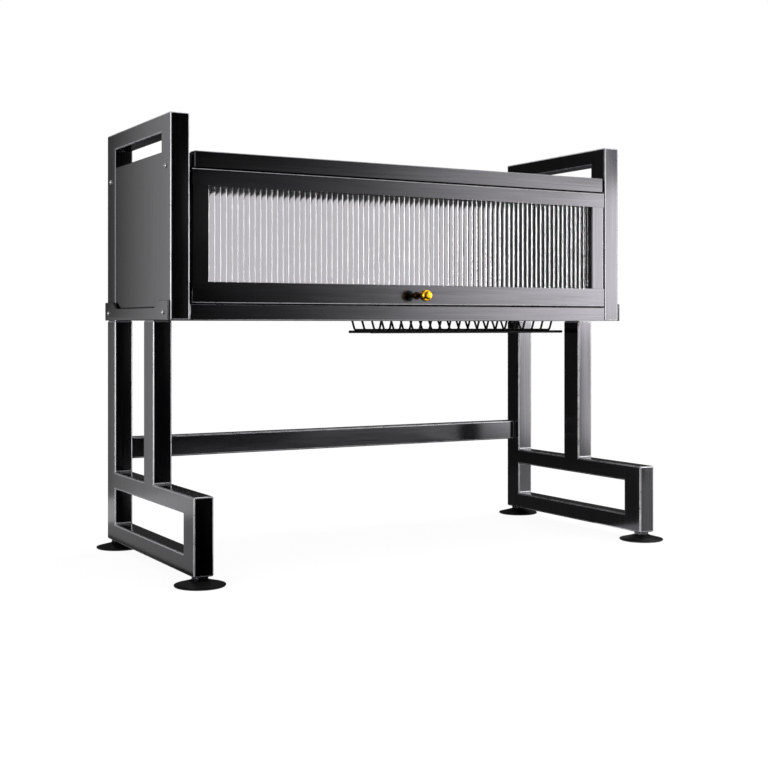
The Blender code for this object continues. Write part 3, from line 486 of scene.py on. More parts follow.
def brushed_steel(name, axis):
    """Cold-rolled steel, brushed and given a thin black coat. The lines left by the belt run along one
    axis: each is a fraction of a millimetre wide, and is drawn coarser here so that it shows. They
    make the gloss break up across the lines, while broad soft clouds come from uneven coating."""
    finish, tree, shader = new_finish(name)
    cells = [sizes().streak_width] * 3
    cells[axis] = sizes().streak_length
    lines = stretched_noise(tree, cells, 2.0)
    broad_cells = [BAND_WIDTH * cell for cell in cells]
    broad_cells[axis] = BAND_LENGTH * sizes().streak_length
    bands = stretched_noise(tree, broad_cells, 1.0, BAND_SEED)
    both = add_node(
        tree, "ShaderNodeMath", {0: bands, 1: BAND_SHARE, 2: lines}, operation="MULTIPLY_ADD"
    ).outputs[0]
    tint = tinted(tree, colours().steel, STEEL_TONES, both, STEEL_TONE_SPAN)
    tree.links.new(tint, shader.inputs["Base Color"])
    gloss = add_node(tree, "ShaderNodeMapRange", {"Value": lines, **NOISE_SPAN, **STEEL_ROUGHNESS})
    tree.links.new(gloss.outputs["Result"], shader.inputs["Roughness"])
    relief = {"Strength": STEEL_RELIEF, "Distance": STEEL_LINE_DEPTH, "Height": lines}
    bump = add_node(tree, "ShaderNodeBump", relief)
    tree.links.new(bump.outputs["Normal"], shader.inputs["Normal"])
    shader.inputs["Metallic"].default_value = 1.0
    return finish


def grained(name, colour_value, roughness, metallic, grain, depth, spread=0.06, gloss=0.5):
    """A finish with a fine even grain: the grain's size and depth are in metres."""
    finish, tree, shader = new_finish(name)
    cells = stretched_noise(tree, [grain] * 3, 3.0)
    clouds = stretched_noise(tree, [CLOUD_GRAINS * grain] * 3, 2.0, CLOUD_SEED)
    tint = tinted(tree, colour_value, GRAIN_TONES, clouds, NOISE_SPAN)
    tree.links.new(tint, shader.inputs["Base Color"])
    span = {"To Min": roughness - spread, "To Max": roughness + spread}
    sheen = add_node(tree, "ShaderNodeMapRange", {"Value": clouds, **NOISE_SPAN, **span})
    tree.links.new(sheen.outputs["Result"], shader.inputs["Roughness"])
    bump = add_node(tree, "ShaderNodeBump", {"Strength": GRAIN_RELIEF, "Distance": depth, "Height": cells})
    tree.links.new(bump.outputs["Normal"], shader.inputs["Normal"])
    shader.inputs["Metallic"].default_value = metallic
    shader.inputs["Specular IOR Level"].default_value = gloss
    return finish


def rolled_glass():
    """Clear soda-lime glass rolled with flutes: the roller leaves it a little uneven, not frosted."""
    finish, tree, shader = new_finish("rolled_fluted_glass")
    waves = stretched_noise(tree, GLASS_WAVES, 1.0)
    gloss = add_node(tree, "ShaderNodeMapRange", {"Value": waves, **NOISE_SPAN, **GLASS_ROUGHNESS})
    tree.links.new(gloss.outputs["Result"], shader.inputs["Roughness"])
    shader.inputs["Base Color"].default_value = colours().glass
    shader.inputs["IOR"].default_value = GLASS_IOR
    shader.inputs["Transmission Weight"].default_value = 1.0
    shader.inputs["Specular IOR Level"].default_value = GLASS_SPECULAR
    return finish


def steel_along(axis_name):
    """The brushed steel whose lines run along this axis, made on first use."""
    name = f"black_brushed_steel_{axis_name}"
    return bpy.data.materials.get(name) or brushed_steel(name, "xyz".index(axis_name))


def finish_for(key):
    """The grained finish of this key, made on first use."""
    name, *settings = GRAINED[key]
    return bpy.data.materials.get(name) or grained(name, getattr(colours(), key), *settings)


# Pieces


def body_of_node(node):
    """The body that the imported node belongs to."""
    return frame["nodes"][node]["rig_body"]


def seat(piece, *nodes):
    """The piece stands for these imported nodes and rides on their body."""
    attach(piece, body_of_node(nodes[0]))
    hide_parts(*nodes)
    return piece


def new_piece(name, bm, finish, smooth=SMOOTH_ANGLE):
    """A finished mesh as a piece at the origin, with its place in its points."""
    bmesh.ops.remove_doubles(bm, verts=bm.verts, dist=MERGE)
    bmesh.ops.recalc_face_normals(bm, faces=bm.faces)
    mesh = bpy.data.meshes.new(name)
    bm.to_mesh(mesh)
    bm.free()
    mesh.materials.append(finish)
    mesh.shade_smooth()
    mesh.set_sharp_from_angle(angle=smooth)
    piece = bpy.data.objects.new(name, mesh)
    bpy.context.collection.objects.link(piece)
    return piece


def keep_flats_flat(piece):
    """Rounded edges shade as a curve while the flats beside them stay flat."""
    flats = piece.modifiers.new("flats", "WEIGHTED_NORMAL")
    flats.keep_sharp = True
    flats.weight = FLAT_WEIGHT


def round_front(bm, radius, sides):
    """Rounds the edges between the piece's front and its sides that face these ways."""
    front = min(vert.co.y for vert in bm.verts)
    edges = []
    for edge in bm.edges:
        on_front = all(vert.co.y < front + MERGE for vert in edge.verts)
        for side in sides:
            if on_front and any(face.normal.dot(Vector(side)) > FLAT for face in edge.link_faces):
                edges.append(edge)
    bmesh.ops.bevel(
        bm,
        geom=edges,
        offset=radius,
        offset_type="OFFSET",
        segments=EDGE_FACETS,
        profile=0.5,
        affect="EDGES",
    )


def apply_modifiers(piece):
    """The piece as its modifiers leave it, as a plain mesh."""
    graph = bpy.context.evaluated_depsgraph_get()
    mesh = bpy.data.meshes.new_from_object(piece.evaluated_get(graph), depsgraph=graph)
    piece.modifiers.clear()
    piece.data = mesh
    return piece


def merged_copy(node, finish, edge=0.0, sides=()):
    """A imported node's shape with its points merged, shaded smooth over its rounded edges."""
    bm = bmesh.new()
    bm.from_mesh(frame["nodes"][node].data)
    bmesh.ops.remove_doubles(bm, verts=bm.verts, dist=MERGE)
    bmesh.ops.dissolve_limit(bm, angle_limit=LEVEL_ANGLE, verts=bm.verts, edges=bm.edges)
    round_front(bm, edge, sides)
    piece = new_piece(f"{node}_look", bm, finish)
    keep_flats_flat(piece)
    return seat(apply_modifiers(piece), node)


def paint_edge_highlights(piece, spared=lambda face: False, finish="edge"):
    """Rounded edges get a lighter finish, a painted highlight. They are the faces that don't lie along an
    axis.
    """
    piece.data.materials.append(finish_for(finish))
    for face in piece.data.polygons:
        if max(abs(part) for part in face.normal) < FLAT and not spared(face):
            face.material_index = 1


def coat_with_inside_shade(piece, inward):
    """Faces that look towards the cabinet's inside get the unbrushed coat, darker as a painted shade."""
    piece.data.materials.append(finish_for("inside"))
    slot = len(piece.data.materials) - 1
    for face in piece.data.polygons:
        if face.normal.dot(Vector(inward)) > LOOKING:
            face.material_index = slot


def around(radius, angle, height):
    """A point at this angle about the Z axis."""
    return (radius * math.cos(angle), radius * math.sin(angle), height)


def loft(bm, rings):
    """A closed skin from ring to ring. A ring of one point is a pole, and any other end gets a face."""
    for ring, following in zip(rings, rings[1:]):
        sides = max(len(ring), len(following))
        for number in range(sides):
            after = (number + 1) % sides
            corners = [
                ring[number % len(ring)],
                ring[after % len(ring)],
                following[after % len(following)],
                following[number % len(following)],
            ]
            bm.faces.new(list(dict.fromkeys(corners)))
    for ring in (rings[0], rings[-1]):
        if len(ring) > 1:
            bm.faces.new(ring)


def spun(bm, profile, sides):
    """A round skin: (radius, height) points spun about the Z axis. On the axis they stay one point."""
    rings = []
    for radius, height in profile:
        count = sides if radius > MERGE else 1
        angles = [math.tau * number / count for number in range(count)]
        rings.append([bm.verts.new(around(radius, angle, height)) for angle in angles])
    loft(bm, rings)


def turned(name, profile, finish, at, axis=UP, sides=64):
    """A round piece: (radius, height) points spun about an axis through a place."""
    bm = bmesh.new()
    spun(bm, profile, sides)
    turn = Vector(UP).rotation_difference(Vector(axis)).to_matrix().to_4x4()
    bmesh.ops.transform(bm, matrix=Matrix.Translation(at) @ turn, verts=bm.verts)
    return new_piece(name, bm, finish)


def eased(profile, ease, steps=4):
    """A (radius, height) profile whose inner corners are rounded by short arcs."""
    points = [Vector(point) for point in profile]
    result = [points[0]]
    for before, corner, after in zip(points, points[1:], points[2:]):
        shorter = min((corner - before).length, (after - corner).length)
        reach = min(ease, shorter / ARC_LIMIT)
        start = corner + (before - corner).normalized() * reach
        end = corner + (after - corner).normalized() * reach
        for step in range(steps + 1):
            t = step / steps
            result.append(start * (1 - t) ** 2 + corner * 2 * t * (1 - t) + end * t * t)
    return result + [points[-1]]


# Geometry Nodes


def new_tree(name, inputs):
    """A geometry tree with named inputs. Each is a name, a socket type and a default value."""
    tree = bpy.data.node_groups.new(name, "GeometryNodeTree")
    tree.interface.new_socket("Geometry", in_out="INPUT", socket_type="NodeSocketGeometry")
    tree.interface.new_socket("Geometry", in_out="OUTPUT", socket_type="NodeSocketGeometry")
    for label, kind, value in inputs:
        socket = tree.interface.new_socket(label, in_out="INPUT", socket_type=f"NodeSocket{kind}")
        if value is not None:
            socket.default_value = value
    return tree, add_node(tree, "NodeGroupInput").outputs


def end_tree(tree, geometry, material):
    """Real geometry with its finish."""
    real = add_node(tree, "GeometryNodeRealizeInstances", {"Geometry": geometry})
    dressed = add_node(tree, "GeometryNodeSetMaterial", {"Geometry": real.outputs[0], "Material": material})
    add_node(tree, "NodeGroupOutput", {"Geometry": dressed.outputs[0]})


def grow(name, mesh, tree, values):
    """Runs a tree on a mesh with these input values, and returns the result as a plain piece."""
    piece = bpy.data.objects.new(name, mesh)
    bpy.context.collection.objects.link(piece)
    modifier = piece.modifiers.new(tree.name, "NODES")
    modifier.node_group = tree
    for item in tree.interface.items_tree:
        if item.in_out == "INPUT" and item.name in values:
            modifier[item.identifier] = values[item.name]
    apply_modifiers(piece)
    # On a mesh without a finish, Set Material leaves an empty slot before its own
    if piece.data.materials[0] is None:
        piece.data.materials.pop(index=0)
    return piece


def flute_tree():
    """An upright sheet with round flutes on its front and a flat back."""
    tree, given = new_tree(
        "fluted_sheet",
        [
            ("Width", "Float", 0.7),
            ("Height", "Float", 0.15),
            ("Thickness", "Float", 0.003),
            ("Flutes", "Int", FLUTES),
            ("Steps", "Int", 14),
            ("Flute Depth", "Float", 0.0012),
            ("Material", "Material", None),
        ],
    )
    position = add_node(tree, "GeometryNodeInputPosition").outputs[0]
    place = add_node(tree, "ShaderNodeSeparateXYZ", {0: position}).outputs
    values = {label: given[label] for label in ("Width", "Flutes", "Steps", "Flute Depth")}
    values["X"] = place["X"]
    for name, operation, first, second in FLUTE_SECTION:
        terms = {0: values.get(first, first), 1: values.get(second, second)}
        values[name] = add_node(tree, "ShaderNodeMath", terms, operation=operation).outputs[0]
    grid = add_node(
        tree,
        "GeometryNodeMeshGrid",
        {
            "Size X": given["Width"],
            "Size Y": given["Height"],
            "Vertices X": values["columns"],
            "Vertices Y": 2,
        },
    )
    upright = add_node(
        tree, "ShaderNodeCombineXYZ", {"X": place["X"], "Y": values["forward"], "Z": place["Y"]}
    )
    front = add_node(
        tree, "GeometryNodeSetPosition", {"Geometry": grid.outputs[0], "Position": upright.outputs[0]}
    )
    deep = add_node(
        tree,
        "GeometryNodeExtrudeMesh",
        {
            "Mesh": front.outputs[0],
            "Offset": add_node(tree, "ShaderNodeCombineXYZ", {"Y": given["Thickness"]}).outputs[0],
            "Offset Scale": 1.0,
            "Individual": False,
        },
        mode="FACES",
    )
    flat = add_node(
        tree, "ShaderNodeCombineXYZ", {"X": place["X"], "Y": given["Thickness"], "Z": place["Z"]}
    )
    back = add_node(
        tree,
        "GeometryNodeSetPosition",
        {"Geometry": deep.outputs["Mesh"], "Selection": deep.outputs["Top"], "Position": flat.outputs[0]},
    )
    closed = add_node(tree, "GeometryNodeJoinGeometry", {"Geometry": back.outputs[0]})
    tree.links.new(front.outputs[0], closed.inputs[0])
    end_tree(tree, closed.outputs[0], given["Material"])
    return tree


def rack_tree():
    """Bent wires side by side on straight rods. The base mesh holds one wire's path as edges and each
    rod's place as a loose point."""
    tree, given = new_tree(
        "wire_rack",
        [
            ("Wire Radius", "Float", WIRE_RADIUS),
            ("Rod Radius", "Float", ROD_RADIUS),
            ("Bend Radius", "Float", 0.007),
            ("Wires", "Int", PLATE_WIRES),
            ("Pitch", "Float", PLATE_PITCH),
            ("First Wire", "Float", 0.0),
            ("Rod Left", "Float", 0.0),
            ("Rod Right", "Float", 0.4),
            ("Material", "Material", None),
        ],
    )
    rings = []
    for size in ("Wire Radius", "Rod Radius"):
        ring = {"Resolution": WIRE_SIDES, "Radius": given[size]}
        rings.append(add_node(tree, "GeometryNodeCurvePrimitiveCircle", ring, mode="RADIUS").outputs[0])
    path = add_node(tree, "GeometryNodeMeshToCurve", {"Mesh": given["Geometry"]})
    round_path = add_node(
        tree,
        "GeometryNodeFilletCurve",
        {
            "Curve": path.outputs[0],
            "Radius": given["Bend Radius"],
            "Limit Radius": True,
            "Count": WIRE_BEND_STEPS,
        },
        mode="POLY",
    )
    wire = add_node(
        tree,
        "GeometryNodeCurveToMesh",
        {"Curve": round_path.outputs[0], "Profile Curve": rings[0], "Fill Caps": True},
    )
    line = add_node(
        tree,
        "GeometryNodeMeshLine",
        {
            "Count": given["Wires"],
            "Start Location": add_node(tree, "ShaderNodeCombineXYZ", {"X": given["First Wire"]}).outputs[0],
            "Offset": add_node(tree, "ShaderNodeCombineXYZ", {"X": given["Pitch"]}).outputs[0],
        },
        mode="OFFSET",
    )
    wires = add_node(
        tree, "GeometryNodeInstanceOnPoints", {"Points": line.outputs[0], "Instance": wire.outputs[0]}
    )
    # A rod's point has no neighbours
    neighbours = add_node(tree, "GeometryNodeInputMeshVertexNeighbors").outputs["Vertex Count"]
    alone = add_node(tree, "ShaderNodeMath", {0: neighbours, 1: 0.5}, operation="LESS_THAN").outputs[0]
    loose = add_node(tree, "GeometryNodeMeshToPoints", {"Mesh": given["Geometry"], "Selection": alone})
    rod_path = add_node(
        tree,
        "GeometryNodeCurvePrimitiveLine",
        {
            "Start": add_node(tree, "ShaderNodeCombineXYZ", {"X": given["Rod Left"]}).outputs[0],
            "End": add_node(tree, "ShaderNodeCombineXYZ", {"X": given["Rod Right"]}).outputs[0],
        },
    )
    rod = add_node(
        tree,
        "GeometryNodeCurveToMesh",
        {"Curve": rod_path.outputs[0], "Profile Curve": rings[1], "Fill Caps": True},
    )
    rods = add_node(
        tree, "GeometryNodeInstanceOnPoints", {"Points": loose.outputs[0], "Instance": rod.outputs[0]}
    )
    both = add_node(tree, "GeometryNodeJoinGeometry")
    tree.links.new(wires.outputs[0], both.inputs[0])
    tree.links.new(rods.outputs[0], both.inputs[0])
    end_tree(tree, both.outputs[0], given["Material"])
    return tree


def screw_tree():
    """One screw set on each point, with its head facing the way that the point's attribute says."""
    tree, given = new_tree("screws_on_points", [("Screw", "Object", None), ("Material", "Material", None)])
    pattern = add_node(
        tree, "GeometryNodeObjectInfo", {"Object": given["Screw"]}, transform_space="ORIGINAL"
    )
    facing = add_node(
        tree, "GeometryNodeInputNamedAttribute", {"Name": "facing"}, data_type="FLOAT_VECTOR"
    ).outputs[0]
    turn = add_node(tree, "FunctionNodeAlignRotationToVector", {"Vector": facing}, axis="Z")
    placed = add_node(
        tree,
        "GeometryNodeInstanceOnPoints",
        {"Points": given["Geometry"], "Instance": pattern.outputs["Geometry"], "Rotation": turn.outputs[0]},
    )
    end_tree(tree, placed.outputs[0], given["Material"])
    return tree


def smooth_piece(piece, angle=SMOOTH_ANGLE):
    """Shades a piece smooth, with the edges sharp that turn by more than the angle."""
    piece.data.shade_smooth()
    piece.data.set_sharp_from_angle(angle=angle)


# Operators


class RACK_OT_stage(bpy.types.Operator):
    """Camera, white floor, soft lamps and black cards that the bright metal reflects"""

    bl_idname = "rack.stage"
    bl_label = "Stage"
    bl_options = {"REGISTER", "UNDO"}

    def execute(self, context):
        self.camera(context)
        self.floor()
        for name, settings in LAMPS.items():
            self.lamp(context, name, *settings)
        self.cards()
        self.world(context)
        context.scene.view_settings.view_transform = "Standard"
        return {"FINISHED"}

    def camera(self, context):
        """A level camera at the photo's viewing angle."""
        lens = bpy.data.cameras.new("camera")
        lens.lens = CAMERA_LENS
        lens.shift_y = CAMERA_SHIFT
        lens.clip_start = CAMERA_CLIP
        camera = bpy.data.objects.new("camera", lens)
        camera.location = CAMERA_PLACE
        camera.rotation_euler = (math.pi / 2, 0, CAMERA_TURN)
        context.collection.objects.link(camera)
        context.scene.camera = camera

    def seen_directly(self, tree):
        """One for camera, glossy and transmitted rays, and nought for the light that falls on things."""
        rays = add_node(tree, "ShaderNodeLightPath").outputs
        seen = rays["Is Camera Ray"]
        for ray in ("Is Glossy Ray", "Is Transmission Ray"):
            seen = add_node(tree, "ShaderNodeMath", {0: seen, 1: rays[ray]}, operation="MAXIMUM").outputs[0]
        return seen

    def floor(self):
        """A wide white floor that takes the rack's soft shadow."""
        finish = bpy.data.materials.new("studio_floor")
        finish.use_nodes = True
        tree = finish.node_tree
        tree.nodes.clear()
        white = colours().floor
        lit = add_node(tree, "ShaderNodeBsdfDiffuse", {"Color": white})
        even = add_node(tree, "ShaderNodeEmission", {"Color": white, "Strength": FLOOR_GLOW})
        share = add_node(
            tree, "ShaderNodeMath", {0: self.seen_directly(tree), 1: FLOOR_GLOW_SHARE}, operation="MULTIPLY"
        )
        mixed = add_node(
            tree, "ShaderNodeMixShader", {0: share.outputs[0], 1: lit.outputs[0], 2: even.outputs[0]}
        )
        add_node(tree, "ShaderNodeOutputMaterial", {"Surface": mixed.outputs[0]})
        bm = bmesh.new()
        bmesh.ops.create_grid(bm, x_segments=1, y_segments=1, size=FLOOR_REACH)
        bmesh.ops.translate(bm, vec=(0, 0, FLOOR_LEVEL), verts=bm.verts)
        floor = new_piece("floor", bm, finish)

    def lamp(self, context, name, at, towards, width, height, power):
        """A rectangular softbox that the camera doesn't see."""
        light = bpy.data.lights.new(name, "AREA")
        light.shape = "RECTANGLE"
        light.size = width
        light.size_y = height
        light.energy = power
        lamp = bpy.data.objects.new(name, light)
        lamp.location = at
        lamp.rotation_euler = (Vector(towards) - Vector(at)).to_track_quat("-Z", "Y").to_euler()
        lamp.visible_camera = False
        context.collection.objects.link(lamp)

    def card(self, name, corners, left_shade, right_shade):
        """A card that only the metal's reflections see. Its grey goes evenly from left to right."""
        finish = bpy.data.materials.new(name)
        finish.use_nodes = True
        tree = finish.node_tree
        tree.nodes.clear()
        place = add_node(tree, "ShaderNodeTexCoord").outputs["Object"]
        across = add_node(tree, "ShaderNodeSeparateXYZ", {0: place}).outputs["X"]
        left = min(corner[0] for corner in corners)
        right = max(corner[0] for corner in corners)
        width = {"From Min": left, "From Max": right}
        shades = {"To Min": left_shade, "To Max": right_shade}
        shade = add_node(tree, "ShaderNodeMapRange", {"Value": across, **width, **shades}).outputs["Result"]
        glow = add_node(tree, "ShaderNodeEmission", {"Color": (1, 1, 1, 1), "Strength": shade})
        add_node(tree, "ShaderNodeOutputMaterial", {"Surface": glow.outputs[0]})
        bm = bmesh.new()
        bm.faces.new([bm.verts.new(corner) for corner in corners])
        card = new_piece(name, bm, finish)
        card.visible_camera = False
        card.visible_diffuse = False
        card.visible_transmission = False
        card.visible_shadow = False
        card.visible_volume_scatter = False

    def cards(self):
        """The upright cards, the graded ones in front among them, and the mats on the floor."""
        upright = dict(CARDS)
        for height, (foot, top, shades) in FRONT_HEIGHTS.items():
            for number, (step, (left, right)) in enumerate(FRONT_STEPS.items()):
                ends = ((left, FRONT_Y), (right, FRONT_Y))
                upright[f"card_{step}_{height}"] = (*ends, foot, top, *shades[number : number + 2])
        for name, (start, end, foot, top, *shades) in upright.items():
            self.card(name, [(*start, foot), (*end, foot), (*end, top), (*start, top)], *shades)
        for name, (left, right, front, back, level, *shades) in MATS.items():
            plan = [(left, front), (right, front), (right, back), (left, back)]
            self.card(name, [(*corner, level) for corner in plan], *shades)

    def world(self, context):
        """The white studio: a plain background and an even light."""
        world = bpy.data.worlds.new("white_studio")
        context.scene.world = world
        world.use_nodes = True
        tree = world.node_tree
        tree.nodes.clear()
        strength = add_node(
            tree,
            "ShaderNodeMath",
            {0: self.seen_directly(tree), 1: 1 - WORLD_LIGHT, 2: WORLD_LIGHT},
            operation="MULTIPLY_ADD",
        ).outputs[0]
        sky = add_node(tree, "ShaderNodeBackground", {"Color": (1, 1, 1, 1), "Strength": strength})
        add_node(tree, "ShaderNodeOutputWorld", {"Surface": sky.outputs[0]})


class RACK_OT_side_frames(bpy.types.Operator):
    """Welded side frames, their hoops, joint plates and inner tubes"""

    bl_idname = "rack.side_frames"
    bl_label = "Side frames"
    bl_options = {"REGISTER", "UNDO"}

    def execute(self, context):
        for side in SIDES:
            paint_edge_highlights(merged_copy(f"{side}_leg_frame", steel_along("z")))
            paint_edge_highlights(merged_copy(f"{side}_side_hoop", steel_along("z")), self.beside_panel)
            merged_copy(f"{side}_joint_plate", steel_along("y"))
            for hidden in ("rear_connector", "mid_connector"):
                merged_copy(f"{side}_{hidden}", finish_for("zinc"))
        paint_edge_highlights(merged_copy("rear_crossbar", steel_along("x")))
        return {"FINISHED"}

    def beside_panel(self, face):
        """The rear post's forward-facing edges next to the panel get no painted highlight."""
        return face.center.y > 0 and face.normal.y < -TURNED


class RACK_OT_cabinet(bpy.types.Operator):
    """Folded side panels, lid and the four rails between the sides"""

    bl_idname = "rack.cabinet"
    bl_label = "Cabinet"
    bl_options = {"REGISTER", "UNDO"}

    def execute(self, context):
        for side in SIDES:
            panel = merged_copy(f"{side}_side_panel", steel_along("z"))
            coat_with_inside_shade(panel, (-SIDES[side], 0, 0))
        for end in ENDS:
            for level in ("bottom", "top"):
                rail = merged_copy(f"{end}_{level}_rail", steel_along("x"), sizes().door_edge, [UP])
                paint_edge_highlights(rail)
                coat_with_inside_shade(rail, (0, 1 if end == "front" else -1, 0))
        lid = merged_copy("top_panel", steel_along("x"), sizes().lid_bend, [UP, RIGHT])
        paint_edge_highlights(lid, finish="bend")
        coat_with_inside_shade(lid, DOWN)
        return {"FINISHED"}


class RACK_OT_door(bpy.types.Operator):
    """Door bars, corner keys, hinge pins, bushes, seal and magnets"""

    bl_idname = "rack.door"
    bl_label = "Door"
    bl_options = {"REGISTER", "UNDO"}

    def execute(self, context):
        edge = sizes().door_edge
        for level, side in (("top", UP), ("bottom", DOWN)):
            paint_edge_highlights(merged_copy(f"door_{level}_rail", steel_along("x"), edge, [side]))
        merged_copy("door_left_stile", steel_along("z"))
        paint_edge_highlights(merged_copy("door_right_stile", steel_along("z"), edge, [RIGHT]))
        for side in SIDES:
            merged_copy(f"{side}_door_magnet", finish_for("nylon"))
            merged_copy(f"{side}_hinge_bush", finish_for("nylon"))
            for metal in ("lower_key", "upper_key", "hinge_pin"):
                merged_copy(f"{side}_{metal}", finish_for("dark_zinc"))
        merged_copy("glass_gasket", finish_for("rubber"))
        merged_copy("knob_screw", finish_for("zinc"))
        return {"FINISHED"}


class RACK_OT_glass(bpy.types.Operator):
    """Clear glass with upright round flutes on its front"""

    bl_idname = "rack.glass"
    bl_label = "Fluted glass"
    bl_options = {"REGISTER", "UNDO"}

    def execute(self, context):
        low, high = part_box("fluted_glass")
        depth = sizes().flute_depth
        sheet = grow(
            "fluted_glass_look",
            bpy.data.meshes.new("fluted_glass_look"),
            flute_tree(),
            {
                "Width": high.x - low.x,
                "Height": high.z - low.z,
                "Thickness": high.y - low.y - depth,
                "Flutes": FLUTES,
                "Steps": sizes().flute_steps,
                "Flute Depth": depth,
                "Material": rolled_glass(),
            },
        )
        place = Matrix.Translation(((low.x + high.x) / 2, low.y + depth, (low.z + high.z) / 2))
        bm = bmesh.new()
        bm.from_mesh(sheet.data)
        bmesh.ops.transform(bm, matrix=place, verts=bm.verts)
        bmesh.ops.remove_doubles(bm, verts=bm.verts, dist=MERGE)
        bmesh.ops.recalc_face_normals(bm, faces=bm.faces)
        bm.to_mesh(sheet.data)
        bm.free()
        smooth_piece(sheet, FLUTE_SMOOTH)
        seat(sheet, "fluted_glass")
        self.keep_softbox_off(sheet)
        return {"FINISHED"}

    def keep_softbox_off(self, sheet):
        """The softbox and the bright cards would veil the glass, so a strip of its own lights it."""
        cards = [(f"card_bright_{height}", "EXCLUDE") for height in FRONT_HEIGHTS]
        for lamp, state in [("softbox_right", "EXCLUDE"), ("glass_strip", "INCLUDE"), *cards]:
            receivers = bpy.data.collections.new(f"receivers_of_{lamp}")
            receivers.objects.link(sheet)
            bpy.data.objects[lamp].light_linking.receiver_collection = receivers
            receivers.collection_objects[0].light_linking.link_state = state


class RACK_OT_knob(bpy.types.Operator):
    """Turned brass knob"""

    bl_idname = "rack.knob"
    bl_label = "Knob"
    bl_options = {"REGISTER", "UNDO"}

    def execute(self, context):
        low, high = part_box("door_knob")
        reach = high.y - low.y
        head = (high.x - low.x) / 2
        profile = [(share * head, level * reach) for share, level in KNOB_SHARES]
        at = ((low.x + high.x) / 2, high.y, (low.z + high.z) / 2)
        knob = turned("door_knob_look", eased(profile, KNOB_EASE), finish_for("brass"), at, FORWARD)
        # The neck and the faces turned to the door get the dark brass: painted shade
        knob.data.materials.append(finish_for("dull_brass"))
        for face in knob.data.polygons:
            if face.center.y > high.y - KNOB_NECK * reach or face.normal.y > TURNED:
                face.material_index = 1
        seat(knob, "door_knob")
        return {"FINISHED"}


class RACK_OT_wire_racks(bpy.types.Operator):
    """Plate rack and bowl rack of bent wires on straight rods"""

    bl_idname = "rack.wire_racks"
    bl_label = "Wire racks"
    bl_options = {"REGISTER", "UNDO"}

    def execute(self, context):
        tree = rack_tree()
        self.rack(tree, "plate_rack", TROUGH_LINE, TROUGH_RODS, PLATE_WIRES, PLATE_WIRES_START, PLATE_PITCH)
        self.rack(tree, "bowl_rack", BASIN_LINE, BASIN_RODS, BOWL_WIRES, BOWL_WIRES_START, BOWL_PITCH)
        return {"FINISHED"}

    def rack(self, tree, node, line, rods, wires, start, pitch):
        """One rack: the line and the rods are places as shares of the rack's depth and height."""
        low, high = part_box(node)
        rim = high.z - WIRE_RADIUS
        drop = WIRE_RADIUS + ROD_RADIUS - WELD_DEPTH
        floor = low.z + ROD_RADIUS + drop

        def place(share, level):
            return (0, low.y + share * (high.y - low.y), floor + level * (rim - floor))

        path = [place(share, level) for share, level in line]
        spots = [Vector(place(share, level)) - Vector((0, 0, drop)) for share, level in rods]
        mesh = bpy.data.meshes.new(f"{node}_lines")
        edges = [(number, number + 1) for number in range(len(path) - 1)]
        mesh.from_pydata(path + spots, edges, [])
        rack = grow(
            f"{node}_look",
            mesh,
            tree,
            {
                "Wire Radius": WIRE_RADIUS,
                "Rod Radius": ROD_RADIUS,
                "Bend Radius": sizes().wire_bend,
                "Wires": wires,
                "Pitch": pitch,
                "First Wire": low.x + start,
                "Rod Left": low.x,
                "Rod Right": high.x,
                "Material": finish_for("wire"),
            },
        )
        smooth_piece(rack)
        seat(rack, node)


